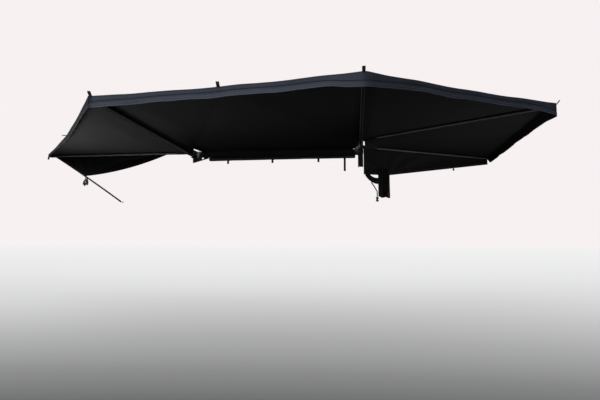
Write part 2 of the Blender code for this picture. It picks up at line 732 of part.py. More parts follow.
def gore(arm):
    """The part of the canopy that one arm carries: a strip on the arm and a half panel on each side."""
    order = ARMS.index(arm)
    neighbours = [ARMS[i] for i in (order - 1, order + 1) if 0 <= i < len(ARMS)]
    sides = {side_of(arm, other): other for other in neighbours}
    columns = []
    for side in (1, -1):
        steps = [i / SIDE_COLUMNS for i in range(SIDE_COLUMNS + 1)]
        if side == 1:
            steps.reverse()
        if side in sides:
            columns += [(sides[side], across) for across in steps]
        else:
            columns.append((None, side))
    grid = []
    for share in row_shares():
        points = []
        for neighbour, across in columns:
            if neighbour:
                points.append(panel_point(arm, neighbour, share, across))
            else:
                points.append(arm_point(arm, reach_at(share), across * STRIP_HALF))
        grid.append(points)
    down = []
    outward = []
    along = (arm_matrix(arm).to_3x3() @ Vector((1, 0, 0))).normalized()
    for neighbour, across in columns:
        down.append(valance_depth(arm, neighbour, across) if neighbour else min(FRONT_VALANCE, VALANCE))
        outward.append(hem_normal(arm, neighbour) if neighbour else along)
    solid = sheet_solid(grid, down, outward)
    bmesh.ops.transform(solid, matrix=arm_matrix(arm).inverted(), verts=solid.verts)
    return to_mesh("canopy_" + arm, solid)


def make_canopy(finish):
    for arm in ARMS:
        place("canopy_" + arm, gore(arm), finish, arm)
    place("canopy_centre", centre_panel(), finish)


def centre_panel():
    """The triangle between the beam and the two folds that meet at the middle of the long hem."""
    beam_line = BEAM_TOP + GAP
    grid = []
    for share in [None] + row_shares()[:-1]:
        if share is None:
            left = Vector((-CENTRE_EDGE, -CENTRE_EDGE_DEPTH, beam_line))
            right = Vector((CENTRE_EDGE, -CENTRE_EDGE_DEPTH, beam_line))
            share = 0.0
        else:
            left = panel_point("arm_2", "arm_3", share, 1.0)
            right = panel_point("arm_3", "arm_2", share, 1.0)
            left.x += PANEL_GAP
            right.x -= PANEL_GAP
        columns = 2 * SIDE_COLUMNS
        points = []
        for i in range(columns + 1):
            part = i / columns
            point = left.lerp(right, part)
            point.z -= SAG * 4 * part * (1 - part) * belly(share) * (1 - share)
            points.append(point)
        grid.append(points)
    return to_mesh("canopy_centre", sheet_solid(grid, None, None))


# End flaps

def front_flap_bottom(reach):
    """Height of the front flap's lower edge, which hangs in a belly and rises to the arm's tip."""
    hub_end = Vector((FRONT_FLAP_START, arm_level("arm_1") + TUBE_HEIGHT / 2))
    corner = Vector(FRONT_FLAP_CORNER)
    tip = Vector(FRONT_FLAP_TIP)
    if reach > corner.x:
        return corner.lerp(tip, (reach - corner.x) / (tip.x - corner.x)).y
    share = (reach - hub_end.x) / (corner.x - hub_end.x)
    return hub_end.lerp(corner, share).y - FLAP_BELLY * 4 * share * (1 - share)


def rear_flap_bottom(reach):
    """Height of the rear flap's lower edge, low near the hub and rising to the arm's tip."""
    start = Vector((REAR_FLAP_START, REAR_FLAP_HUB_DROP))
    corner = Vector(REAR_FLAP_CORNER)
    tip = Vector(REAR_FLAP_TIP)
    if reach > corner.x:
        return corner.lerp(tip, (reach - corner.x) / (tip.x - corner.x)).y
    return start.lerp(corner, (reach - start.x) / (corner.x - start.x)).y


def flap_fold(reach, height, share, start, corner, tip):
    """How far a flap stands out from its arm: folds that fan out from the corner it is pulled at.

    They die away at the top edge, at the hem, beside the hub and towards the arm's tip."""
    away = Vector((reach - corner[0], 2 * (height - corner[1])))
    fan = 0.5 + 0.5 * math.sin(FLAP_FOLDS * math.atan2(away.y, away.x))
    ends = smooth_step((reach - start) / FLAP_HUB_RUN) * smooth_step((tip[0] - reach) / FLAP_FOLD_RUN)
    return FLAP_FOLD_DEPTH * fan * math.sin(math.pi * share) ** 2 * ends


def flap_solid(arm, start, corner, tip, bottom):
    """A hanging sheet from the top of an arm down to its hem, with its folds."""
    top = arm_level(arm) + TUBE_HEIGHT + GAP + FABRIC
    columns = []
    for c in range(FLAP_COLUMNS + 1):
        columns.append(start + (tip[0] - start) * c / FLAP_COLUMNS)
    nearest = min(range(1, FLAP_COLUMNS), key=lambda c: abs(columns[c] - corner[0]))
    columns[nearest] = corner[0]
    inner = []
    outer = []
    shape = bmesh.new()
    for r in range(FLAP_ROWS + 1):
        share = r / FLAP_ROWS
        inner.append([])
        outer.append([])
        for reach in columns:
            height = top + (bottom(reach) - top) * share
            out = FLAP_OFFSET + flap_fold(reach, height, share, start, corner, tip)
            inner[-1].append(shape.verts.new((reach, out, height)))
            outer[-1].append(shape.verts.new((reach, out + FABRIC, height)))
    close_sheet(shape, inner, outer)
    return shape


def make_front_flap(finish):
    sheet = flap_solid("arm_1", FRONT_FLAP_START, FRONT_FLAP_CORNER, FRONT_FLAP_TIP, front_flap_bottom)
    bmesh.ops.transform(sheet, matrix=Matrix.Scale(-1, 4, (0, 1, 0)), verts=sheet.verts)
    bmesh.ops.recalc_face_normals(sheet, faces=sheet.faces)
    place("front_flap", to_mesh("front_flap", sheet), finish, "arm_1")


def make_rear_flap(finish):
    sheet = flap_solid("arm_5", REAR_FLAP_START, REAR_FLAP_CORNER, REAR_FLAP_TIP, rear_flap_bottom)
    place("rear_flap", to_mesh("rear_flap", sheet), finish, "arm_5")


def gathered_cloth(name, line, widths, depth, folds, finish):
    """Gathered cloth along a line beside arm 5: flat behind, with its front folded in and out."""
    back = FLAP_OFFSET - GAP
    steps = folds * 6
    shape = bmesh.new()
    rings = []
    for level, middle in enumerate(line):
        share = level / (len(line) - 1)
        before = Vector(line[max(0, level - 1)])
        after = Vector(line[min(len(line) - 1, level + 1)])
        run = (after - before).normalized()
        across = Vector((-run.y, run.x)) * (widths[0] + (widths[1] - widths[0]) * share)
        front = []
        rear = []
        for i in range(steps + 1):
            part = i / steps
            wave = 0.5 + 0.5 * math.cos(2 * math.pi * folds * part + 0.7 * share)
            edge = math.sqrt(max(0.0, 1 - (2 * part - 1) ** 4))
            spot = Vector(middle) + across * (part - 0.5)
            out = depth * (0.75 + 0.25 * share) * (0.35 + 0.65 * wave) * edge + CLOTH_EDGE
            front.append((spot.x, back - out, spot.y))
            rear.append((spot.x, back, spot.y))
        rings.append([shape.verts.new(p) for p in front + rear[::-1]])
    for low, high in zip(rings, rings[1:]):
        for i in range(len(low)):
            shape.faces.new((low[i - 1], low[i], high[i], high[i - 1]))
    shape.faces.new(rings[0])
    shape.faces.new(rings[-1][::-1])
    bmesh.ops.triangulate(shape, faces=shape.faces)
    bmesh.ops.recalc_face_normals(shape, faces=shape.faces)
    place(name, to_mesh(name, shape), finish, "arm_5")


def make_flap_tail(finish):
    """The rear flap's spare cloth, tied in a bundle that hangs from it."""
    levels = 8
    middle = TAIL_START + TAIL_WIDTH / 2
    line = [(middle, TAIL_TOP + (TAIL_BOTTOM - TAIL_TOP) * i / levels) for i in range(levels + 1)]
    gathered_cloth("rear_flap_tail", line, (TAIL_WIDTH, TAIL_WIDTH), TAIL_DEPTH, TAIL_FOLDS, finish)


def make_flap_swag(finish):
    """Cloth drawn from the flap's corner by the hub across to the bundle."""
    end = (TAIL_START - GAP, SWAG_END_HEIGHT)
    near = (end[0] - SWAG_END_RUN, SWAG_END_HEIGHT)
    line = quadratic(SWAG_START, (end[0] - SWAG_SETBACK, SWAG_END_HEIGHT), near, 7) + [end]
    gathered_cloth("rear_flap_swag", line, SWAG_WIDTHS, SWAG_DEPTH, SWAG_FOLDS, finish)


def buckle(centre_x, centre_y, top):
    """A side-release buckle: a body with two finger windows at its sides."""
    half = BUCKLE_WIDTH / 2
    waist = half - 0.006
    bottom = top - BUCKLE_HEIGHT
    right = [(half, top), (half, top - 0.016), (waist, top - 0.020), (waist, bottom + 0.018),
             (half, bottom + 0.012), (half, bottom)]
    outline = [(centre_x + x, z) for x, z in right] + [(centre_x - x, z) for x, z in reversed(right)]
    return along_y(prism(outline, centre_y - BUCKLE_DEPTH / 2, centre_y + BUCKLE_DEPTH / 2))


def make_tail_buckles(finish):
    """One buckle on the end of the tie strap and one fastened on a fold of the bundle's face."""
    foot = TIE_ROUTE[-1]
    hanging = buckle(foot[0], FLAP_OFFSET - GAP - CLOTH_EDGE / 2, foot[1] - GAP)
    place("flap_tail_buckle_1", to_mesh("flap_tail_buckle_1", hanging), finish, "arm_5")
    reach = TAIL_START + TAIL_WIDTH * FACE_BUCKLE_PLACE
    front = FLAP_OFFSET - 2 * GAP - TAIL_DEPTH * FOLD_CREST - CLOTH_EDGE
    fastened = buckle(reach, front - BUCKLE_DEPTH / 2, TAIL_BOTTOM + FACE_BUCKLE_RISE + BUCKLE_HEIGHT)
    place("flap_tail_buckle_2", to_mesh("flap_tail_buckle_2", fastened), finish, "arm_5")


def ribbon(points, thickness):
    """Outline of a strip of webbing that follows a line of points in a plane."""
    left = []
    right = []
    for i, point in enumerate(points):
        before = Vector(points[max(0, i - 1)])
        after = Vector(points[min(len(points) - 1, i + 1)])
        run = (after - before).normalized()
        normal = Vector((-run.y, run.x)) * thickness / 2
        left.append(tuple(Vector(point) + normal))
        right.append(tuple(Vector(point) - normal))
    return left + right[::-1]


def quadratic(start, control, end, steps):
    """Points on a smooth curve that leaves start towards control and ends at end."""
    points = []
    for i in range(steps + 1):
        t = i / steps
        near = Vector(start) * (1 - t) ** 2 + Vector(control) * 2 * t * (1 - t)
        points.append(tuple(near + Vector(end) * t * t))
    return points


def make_tie_strap(finish):
    """Webbing that hangs from the drawn cloth down beside the bundle to its buckle."""
    path = [Vector(p) for p in TIE_ROUTE]
    middle = FLAP_OFFSET - GAP - CLOTH_EDGE / 2
    outline = ribbon(path, TIE_WIDTH)
    strap = along_y(prism(outline, middle - STRAP_THICKNESS / 2, middle + STRAP_THICKNESS / 2))
    place("rear_tie_strap", to_mesh("rear_tie_strap", strap), finish, "arm_5")


# Travel cover

def roll_radius(x):
    """The roll is a little fatter at its front end."""
    share = (x - ROLL_FRONT) / (ROLL_REAR - ROLL_FRONT)
    return ROLL_RADIUS + ROLL_SWELL * (1 - share) ** 2


def roll_centre(x):
    return -ROLL_DEPTH, BEAM_BOTTOM - GAP - roll_radius(x)


def make_cover_roll(finish):
    shape = bmesh.new()
    rings = []
    stations = 14
    for i in range(stations + 1):
        x = ROLL_FRONT + (ROLL_REAR - ROLL_FRONT) * i / stations
        rings.append([shape.verts.new((x, y, z)) for y, z in circle(roll_radius(x), roll_centre(x), 20)])
    for near, far in zip(rings, rings[1:]):
        for i in range(20):
            shape.faces.new((near[i - 1], near[i], far[i], far[i - 1]))
    shape.faces.new(rings[0])
    shape.faces.new(rings[-1][::-1])
    bmesh.ops.recalc_face_normals(shape, faces=shape.faces)
    place("cover_roll", to_mesh("cover_roll", shape), finish)


def make_cover_straps(finish):
    """A band round the roll with its loose end hanging down in front."""
    for name, (x, tail) in COVER_STRAPS.items():
        y, z = roll_centre(x)
        largest = max(roll_radius(x - STRAP_WIDTH / 2), roll_radius(x + STRAP_WIDTH / 2))
        inner = largest + GAP
        outer = inner + STRAP_THICKNESS
        z = BEAM_BOTTOM - GAP - largest
        hang = 225.0
        half = math.degrees(STRAP_THICKNESS / outer)
        outline = circle(outer, (y, z), 12, 140.0, hang - half - 140.0)
        low = (outline[-1][0], outline[-1][1] - tail)
        outline += [low, (low[0] + 2 * STRAP_THICKNESS, low[1])]
        outline += circle(outer, (y, z), 12, hang + half, 400.0 - hang - half)
        outline += circle(inner, (y, z), 20, 400.0, -260.0)
        band = along_x(prism(outline, x - STRAP_WIDTH / 2, x + STRAP_WIDTH / 2))
        bmesh.ops.recalc_face_normals(band, faces=band.faces)
        place(name, to_mesh(name, band), finish)


# Rack brackets

def make_rack_brackets(finish):
    for name, x in RACK_BRACKETS.items():
        side = [(GAP, RACK_BOTTOM), (RACK_REACH, RACK_BOTTOM), (RACK_REACH, RACK_BOTTOM + RACK_THICKNESS)]
        side += [(GAP + RACK_THICKNESS + 0.010, RACK_BOTTOM + RACK_THICKNESS)]
        side += [(GAP + RACK_THICKNESS, RACK_BOTTOM + RACK_THICKNESS + 0.010)]
        side += [(GAP + RACK_THICKNESS, RACK_TOP)]
        side += [(GAP, RACK_TOP)]
        angle = along_x(prism(side, x - RACK_WIDTH / 2, x + RACK_WIDTH / 2))
        bmesh.ops.recalc_face_normals(angle, faces=angle.faces)
        cutters = []
        for step in (-0.5, 0.5):
            bolt_x = x + step * RACK_BOLT_SPACING
            cutters.append(rod(M8_RADIUS + BOLT_CLEARANCE, (bolt_x, -0.01, SLOT_HEIGHT),
                               (bolt_x, 0.02, SLOT_HEIGHT), 16))
        run = RACK_SLOT_LENGTH / 2 - RACK_SLOT_WIDTH / 2
        middle = 0.050
        slot = circle(RACK_SLOT_WIDTH / 2, (x + run, middle), 8, -90, 180)
        slot += circle(RACK_SLOT_WIDTH / 2, (x - run, middle), 8, 90, 180)
        cutters.append(prism(slot, RACK_BOTTOM - 0.01, RACK_BOTTOM + 0.02))
        place(name, cut(name, angle, cutters), finish)


# Webbing tabs, guy strap and its fittings

def tab_solid(corner, outward, lift_angle, length=TAB_LENGTH):
    """A doubled loop of webbing that stands out from the hem."""
    side = Vector((-outward.y, outward.x, 0.0))
    rise = math.radians(lift_angle)
    run = outward * math.cos(rise) + Vector((0, 0, 1)) * math.sin(rise)
    normal = side.cross(run)
    profile = [(0.0, -0.5), (0.7, -1.0), (0.92, -0.9), (1.0, 0.0), (0.92, 0.9), (0.7, 1.0), (0.0, 0.5)]
    shape = prism([(a * length, b * TAB_THICKNESS) for a, b in profile], -TAB_WIDTH / 2, TAB_WIDTH / 2)
    turn = Matrix((run, normal, side)).transposed().to_4x4()
    bmesh.ops.transform(shape, matrix=Matrix.Translation(corner) @ turn, verts=shape.verts)
    bmesh.ops.recalc_face_normals(shape, faces=shape.faces)
    return shape


def tab_start(hem, outward, lift_angle):
    """Where a tab leaves the hem, so that the nearest edge of its foot lies one gap outside it."""
    tilt = TAB_THICKNESS / 2 * abs(math.sin(math.radians(lift_angle)))
    return hem + outward * (FABRIC + GAP + tilt) - Vector((0, 0, TAB_DROP))


def corner_tab(arm, lift_angle, length=TAB_LENGTH):
    along = (arm_matrix(arm).to_3x3() @ Vector((1, 0, 0))).normalized()
    return tab_solid(tab_start(arm_point(arm, ARM_REACH), along, lift_angle), along, lift_angle, length)


def middle_tab(arm, neighbour, lift_angle, clear):
    fold = panel_point(arm, neighbour, 1.0, 1.0)
    before = panel_point(arm, neighbour, 1.0, 1.0 - 1.0 / SIDE_COLUMNS)
    hem = flat_unit(fold, before)
    outward = Vector((hem.y, -hem.x, 0.0))
    if outward.dot(hem_normal(arm, neighbour)) < 0:
        outward = -outward
    foot = fold.lerp(before, (TAB_WIDTH / 2 + clear) / (before - fold).length)
    return tab_solid(tab_start(foot, outward, lift_angle), outward, lift_angle)


def make_tabs(finish):
    tabs = {"front_corner_tab": ("arm_1", corner_tab("arm_1", CORNER_TAB_DROP, FRONT_TAB_LENGTH)),
            "side_hem_tab": ("arm_1", middle_tab("arm_1", "arm_2", SIDE_TAB_DROP, TAB_FOLD_CLEAR)),
            "outer_front_tab": ("arm_2", corner_tab("arm_2", TAB_LIFT)),
            "long_hem_tab": ("arm_2", middle_tab("arm_2", "arm_3", TAB_LIFT, LONG_TAB_CLEAR)),
            "outer_rear_tab": ("arm_3", corner_tab("arm_3", TAB_LIFT)),
            "rear_side_tab": ("arm_4", corner_tab("arm_4", TAB_LIFT)),
            "rear_corner_tab": ("arm_5", corner_tab("arm_5", CORNER_TAB_DROP, REAR_TAB_LENGTH)),
            "rear_flap_tab": ("arm_5", flap_tab())}
    for name, (arm, solid) in tabs.items():
        mesh = to_mesh(name, solid)
        mesh.transform(arm_matrix(arm).inverted())
        place(name, mesh, finish, arm)


def flap_tab():
    """A small loop under the lower edge of the rear flap."""
    slope = (REAR_FLAP_TIP[1] - REAR_FLAP_CORNER[1]) / (REAR_FLAP_TIP[0] - REAR_FLAP_CORNER[0])
    reach = FLAP_TAB_REACH
    offset = FLAP_OFFSET + FABRIC / 2
    half = TAB_WIDTH / 2
    top = REAR_FLAP_CORNER[1] + slope * (reach - half - REAR_FLAP_CORNER[0]) - GAP
    shape = box((reach - half, offset - TAB_THICKNESS / 2, top - 0.030),
                (reach + half, offset + TAB_THICKNESS / 2, top))
    bmesh.ops.transform(shape, matrix=arm_matrix("arm_5"), verts=shape.verts)
    return shape


def guy_route():
    """Points down the guy strap, along the flap's front edge and on past its corner to the hook."""
    start, corner, end = (Vector(p) for p in (GUY_TOP, GUY_CORNER, GUY_END))
    return quadratic(start, corner * 2 - (start + end) / 2, end, GUY_POINTS)


def guy_face():
    """How far the strap's inner face lies from the arm's own line."""
    return -FLAP_OFFSET - FABRIC - GUY_LIFT


def make_guy_strap(finish):
    path = [Vector(p) for p in guy_route()]
    outline = ribbon(path, GUY_WIDTH)
    strap = along_y(prism(outline, guy_face() - STRAP_THICKNESS, guy_face()))
    place("guy_strap", to_mesh("guy_strap", strap), finish, "arm_1")


def swept_wire(points, radius, steps=8):
    """A bent wire: a round section carried along a line of points in an upright plane."""
    shape = bmesh.new()
    rings = []
    for i, point in enumerate(points):
        before = points[max(0, i - 1)]
        after = points[min(len(points) - 1, i + 1)]
        run = (after - before).normalized()
        across = Vector((0, 1, 0))
        normal = run.cross(across).normalized()
        ring = [point + across * (radius * c) + normal * (radius * s) for c, s in circle(1.0, steps=steps)]
        rings.append([shape.verts.new(p) for p in ring])
    for near, far in zip(rings, rings[1:]):
        for i in range(steps):
            shape.faces.new((near[i - 1], near[i], far[i], far[i - 1]))
    shape.faces.new(rings[0])
    shape.faces.new(rings[-1][::-1])
    bmesh.ops.recalc_face_normals(shape, faces=shape.faces)
    return shape


def make_hook(finish):
    """An S-shaped wire hook at the end of the strap."""
    route = guy_route()
    middle = guy_face() - STRAP_THICKNESS / 2
    end = Vector((route[-1][0], middle, route[-1][1]))
    before = Vector((route[-2][0], middle, route[-2][1]))
    run = (end - before).normalized()
    across = Vector((run.z, 0.0, -run.x))
    start = end + run * GAP
    shank = 0.020
    points = [start, start + run * 0.008]
    for i in range(13):
        turn = math.radians(20 * i)
        points.append(start + run * (shank + HOOK_EYE * math.sin(turn))
                      + across * HOOK_EYE * (1 - math.cos(turn)))
    place("guy_hook", to_mesh("guy_hook", swept_wire(points, HOOK_WIRE)), finish, "arm_1")


def make_tensioner(finish):
    """A cam buckle that hangs from the flap's corner: a neck, a wide body and two windows."""
    neck, shoulder = TENSIONER_NECK
    half, length = TENSIONER_BODY
    side = [(0.0, neck), (shoulder, neck), (shoulder + 0.010, half - 0.004), (shoulder + 0.022, half)]
    side += [(length - 0.015, half), (length, half - 0.008)]
    outline = [(-down, across) for down, across in side]
    outline += [(-down, -across) for down, across in reversed(side)]
    width, height = TENSIONER_WINDOW
    top = -shoulder - 0.024
    window = [(top, -width), (top, width), (top - height, width), (top - height, -width)]
    slot = [(-0.006, -0.007), (-0.006, 0.007), (-0.012, 0.007), (-0.012, -0.007)]
    outer = guy_face() - STRAP_THICKNESS - GAP
    tilt = math.radians(TENSIONER_TILT)
    shapes = []
    for loop in (outline, window, slot):
        turned = []
        for rise, across in loop:
            x = GUY_CORNER[0] + across * math.cos(tilt) - rise * math.sin(tilt)
            z = GUY_CORNER[1] - TENSIONER_SETBACK + rise * math.cos(tilt) + across * math.sin(tilt)
            turned.append((x, z))
        shapes.append(turned)
    plate = along_y(prism(shapes[0], outer - TENSIONER_THICKNESS, outer, shapes[1:]))
    bmesh.ops.recalc_face_normals(plate, faces=plate.faces)
    place("guy_tensioner", to_mesh("guy_tensioner", plate), finish, "arm_1")


def build():
    clear_scene()
    paint = material("black_powder_coat", (0.012, 0.012, 0.013), 0.38, 0.0)
    anodised = material("black_anodised_beam", (0.016, 0.016, 0.017), 0.42, 0.6)
    steel = material("zinc_black_steel", (0.05, 0.05, 0.052), 0.40, 0.8)
    plastic = material("black_plastic", (0.014, 0.014, 0.014), 0.55)
    canvas = material("black_canvas", (0.018, 0.019, 0.021), 0.85)
    vinyl = material("black_vinyl", (0.010, 0.010, 0.011), 0.50)
    webbing = material("black_webbing", (0.012, 0.012, 0.012), 0.80)
    add_pivots()
    make_beam(anodised)
    make_end_caps(plastic)
    make_front_bracket(paint)
    make_rear_bracket(paint)
    make_pins(steel, plastic)
    make_arms(paint, plastic)
    make_canopy(canvas)
    make_front_flap(canvas)
    make_rear_flap(canvas)
    make_flap_tail(canvas)
    make_flap_swag(canvas)
    make_tail_buckles(plastic)
    make_tie_strap(webbing)
    make_cover_roll(vinyl)
    make_cover_straps(webbing)
    make_rack_brackets(paint)
    make_tabs(webbing)
    make_guy_strap(webbing)
    make_hook(steel)
    make_tensioner(plastic)


build()
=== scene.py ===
"""Looks of the fan-folding side awning: cloth, webbing, coated metal and moulded pieces."""

from functools import partialmethod
from itertools import accumulate
from math import atan2, cos, exp, pi, radians, sin, sqrt, tau

import bmesh
import bpy
from mathutils import Matrix, Vector, noise


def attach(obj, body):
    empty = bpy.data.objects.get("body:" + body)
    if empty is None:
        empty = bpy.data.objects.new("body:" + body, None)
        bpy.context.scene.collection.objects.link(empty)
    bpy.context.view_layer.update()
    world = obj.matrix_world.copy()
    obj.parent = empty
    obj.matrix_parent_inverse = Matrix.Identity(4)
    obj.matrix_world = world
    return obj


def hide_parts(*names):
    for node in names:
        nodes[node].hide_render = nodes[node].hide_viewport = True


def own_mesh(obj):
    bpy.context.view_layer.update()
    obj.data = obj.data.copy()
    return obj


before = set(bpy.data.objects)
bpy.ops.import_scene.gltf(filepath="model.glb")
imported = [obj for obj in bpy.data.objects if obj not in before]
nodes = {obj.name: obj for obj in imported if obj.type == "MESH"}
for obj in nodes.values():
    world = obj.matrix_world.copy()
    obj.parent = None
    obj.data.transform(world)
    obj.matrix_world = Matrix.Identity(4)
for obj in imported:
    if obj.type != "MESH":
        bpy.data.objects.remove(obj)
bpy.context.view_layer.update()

# Sizes that the CAD has too, in metres and degrees
GAP = 0.0003
HUB_SPACING = 2.073
HUB_OFFSET = 0.075
TUBE_WIDTH = 0.028
TUBE_HEIGHT = 0.032
ARM_PITCH = 0.038
LOWEST_ARM = -0.030
ARM_REACH = 1.977
ARM_STACK = {"arm_2": 0, "arm_1": 1, "arm_5": 2, "arm_3": 3, "arm_4": 4}
ARM_AZIMUTH = {"arm_1": 178.3, "arm_2": 268.8, "arm_3": 267.2, "arm_4": 327.3, "arm_5": 384.8}
ARM_HUB = {"arm_1": "front", "arm_2": "front", "arm_3": "rear", "arm_4": "rear", "arm_5": "rear"}
ARMS = ("arm_1", "arm_2", "arm_3", "arm_4", "arm_5")
ARM_BOLTS = (0.095, 0.190)
TIP_LENGTH = 0.062
TIP_PLUG = 0.035
TIP_RISE = 0.003
TIP_SETBACK = 0.018
TIP_FLAT = 0.010
FABRIC = 0.0015
STRIP_HALF = 0.021
HUB_CLEAR = 0.060
HEM_INSETS = {("arm_1", "arm_2"): 0.022, ("arm_2", "arm_3"): 0.018, ("arm_3", "arm_4"): 0.004,
              ("arm_4", "arm_5"): 0.004}
SAG = 0.030
HEM_SHARE = 0.27
VALANCE = 0.080
FRONT_VALANCE = 0.030
VALANCE_CORNERS = {"arm_1": 0.0, "arm_2": 0.010, "arm_3": 0.030, "arm_4": 0.030, "arm_5": 0.0}
VALANCE_CORNER_RUN = 0.45
CENTRE_EDGE = 0.945
CENTRE_EDGE_DEPTH = 0.0125
BEAM_DEPTH = 0.025
BEAM_BOTTOM = -0.025
BEAM_TOP = 0.045
SLOT_HEIGHT = 0.025
PLATE_THICKNESS = 0.006
HUB_BOLT_COLUMNS = (0.000, 0.055)
HUB_BOLT_ROWS = (0.012, 0.041)
RACK_BRACKETS = (-0.750, 0.700)
RACK_BOLT_SPACING = 0.032
FLAP_OFFSET = STRIP_HALF + GAP
FRONT_FLAP_START = 0.330
FRONT_FLAP_CORNER = (1.455, -0.243)
FRONT_FLAP_TIP = (ARM_REACH - 0.070, 0.026)
FLAP_BELLY = 0.046
REAR_FLAP_START = 0.052
REAR_FLAP_HUB_DROP = -0.270
REAR_FLAP_CORNER = (0.390, -0.262)
REAR_FLAP_TIP = (ARM_REACH - 0.005, -0.018)
FLAP_TAB_REACH = 1.390
FLAP_FOLDS = 13
FLAP_FOLD_DEPTH = 0.014
FLAP_FOLD_RUN = 0.300
FLAP_HUB_RUN = 0.080
TAIL_START = 0.247
TAIL_WIDTH = 0.157
TAIL_DEPTH = 0.038
TAIL_TOP = -0.195
TAIL_BOTTOM = -0.545
TAIL_FOLDS = 4
CLOTH_EDGE = 0.004
SWAG_START = (0.088, -0.262)
SWAG_END_HEIGHT = -0.340
SWAG_WIDTHS = (0.052, 0.0765)
SWAG_DEPTH = 0.020
SWAG_FOLDS = 3
SWAG_SETBACK = 0.0965
SWAG_END_RUN = 0.012
STRAP_WIDTH = 0.025
STRAP_THICKNESS = 0.0016
TIE_WIDTH = 0.014
TIE_ROUTE = ((0.150, -0.3612), (0.190, -0.410), (0.230, -0.470), (0.230, -0.540))
ROLL_FRONT = -0.845
ROLL_REAR = 0.975
ROLL_RADIUS = 0.0205
ROLL_SWELL = 0.0055
ROLL_DEPTH = 0.020
COVER_STRAPS = {"cover_strap_1": (-0.600, 0.050), "cover_strap_2": (-0.040, 0.050),
                "cover_strap_3": (0.528, 0.050), "cover_strap_4": (0.847, 0.165)}
TAB_WIDTH = 0.025
TAB_LENGTH = 0.042
TAB_THICKNESS = 0.0032
TAB_DROP = 0.004
TAB_FOLD_CLEAR = 0.006
LONG_TAB_CLEAR = 0.028
TAB_LIFT = 50.0
FRONT_TAB_LENGTH = 0.060
REAR_TAB_LENGTH = 0.034
CORNER_TAB_DROP = -80.0
SIDE_TAB_DROP = -10.0
GUY_WIDTH = 0.020
GUY_POINTS = 30
GUY_LIFT = 0.0008
GUY_TOP = (ARM_REACH - 0.075, 0.024)
GUY_CORNER = (1.450, -0.256)
GUY_END = (0.952, -0.583)
TENSIONER_SETBACK = 0.006
TENSIONER_TILT = 13.0
TENSIONER_THICKNESS = 0.005

# The drape and detail that this file adds: sizes in metres, counts and shares
CHEEK_OUTER = TUBE_WIDTH / 2 + GAP + 0.004
CAD_SIDE_COLUMNS = 7
LOOP_WIDTH = 0.014
LOOP_TOP = -0.064
LOOP_BOTTOM = -0.108
TENSIONER_TURN = 0.005
TENSIONER_STEPS = 6
LOOSE_END = ((-0.012, -0.004), (-0.034, -0.022), (-0.060, -0.034), (-0.094, -0.036))
LOOSE_END_LIFT = 0.0022
HUB_REACH_IN = 0.013
# Painted shade under the long side: where it starts to clear from the beam, and over what run
SHADE_START = 0.45
SHADE_RUN = 1.15
# How much darker the valances' outer faces are made: on the arm_3 to arm_4 valance this is painted shade;
# the arm_1 to arm_2 valance is darkened to near black
DARK_HEMS = {("arm_1", "arm_2"): 1.0, ("arm_3", "arm_4"): 0.35}
CLOTH_ROWS = 34
ROW_BY_HEM = 0.966
CLOTH_COLUMNS = 16
VALANCE_ROWS = 7
FLAP_COLUMNS = 96
FLAP_ROWS = 24
HEM_ZERO = 0.0001
CLEAR_OF_ARM = 0.3
FAN_DEPTH = 0.0026
CREASE_DEPTH = 0.0045
SOFT_DEPTH = 0.007
SMALL_DEPTH = 0.0016
PLEAT_DEPTH = 0.0030
LAST_PLEAT_DEPTH = 0.0045
HEM_WAVE = 0.0035
HEM_RIPPLE = 0.006
HEM_LEAN = 0.003
TURNED_UP = 0.68
TURNED_THICKNESS = 1.9
FOLDED_SHARE = 0.035
BUNDLE_LEVELS = 28
SWAG_LEVELS = 24
LOOP_SHARE = 0.80
LOOP_THICKNESS = TAB_THICKNESS * 0.38
FLAP_LOOP_LENGTH = 0.028
FLAP_LOOP_HALF = 0.0009
FLAP_LOOP_TURN = 0.0012
COVER_STATIONS = 150
COVER_STEPS = 40
COVER_LIP = 0.0022
COVER_PINCH = 0.0016
COVER_TUCK = 0.0030
BOLT_CLEAR = 0.0002
RACK_PLATE = 0.0052
HUB_BOLT = {"across_flats": 0.013, "head": 0.0053, "washer": 0.0082}
RACK_BOLT = {"across_flats": 0.013, "head": 0.0053, "washer": 0.0080}
CHEEK_NUT = {"across_flats": 0.010, "head": 0.0030, "washer": 0.0060}
CHEEK_BUTTON = {"radius": 0.0058, "height": 0.0030}
WASHER_THICKNESS = 0.0012

HUBS = {"front": Vector((-HUB_SPACING / 2, -HUB_OFFSET, 0.0)),
        "rear": Vector((HUB_SPACING / 2, -HUB_OFFSET, 0.0))}
UP = Vector((0.0, 0.0, 1.0))

# Camera, at the photograph's viewing angle in its 600 by 400 frame
FRAME_WIDTH = 600
FOCAL_PIXELS = 385.94
CAMERA_PLACE = Vector((0.7419, -4.6794, -1.0580))
CAMERA_YAW, CAMERA_PITCH, CAMERA_ROLL = -0.0942, 0.1030, 0.0035


def link(obj):
    bpy.context.scene.collection.objects.link(obj)


def make_camera():
    flat = cos(CAMERA_PITCH)
    forward = Vector((sin(CAMERA_YAW) * flat, cos(CAMERA_YAW) * flat, sin(CAMERA_PITCH)))
    level = Vector((cos(CAMERA_YAW), -sin(CAMERA_YAW), 0.0))
    upright = level.cross(forward)
    right = level * cos(CAMERA_ROLL) + upright * sin(CAMERA_ROLL)
    up = upright * cos(CAMERA_ROLL) - level * sin(CAMERA_ROLL)
    lens = bpy.data.cameras.new("photo_camera")
    lens.sensor_width = 36.0
    lens.lens = FOCAL_PIXELS / FRAME_WIDTH * lens.sensor_width
    lens.clip_end = 200.0
    camera = bpy.data.objects.new("photo_camera", lens)
    link(camera)
    turn = Matrix((right, up, -forward)).transposed().to_4x4()
    camera.matrix_world = Matrix.Translation(CAMERA_PLACE) @ turn
    bpy.context.scene.camera = camera


make_camera()


# Shader maths

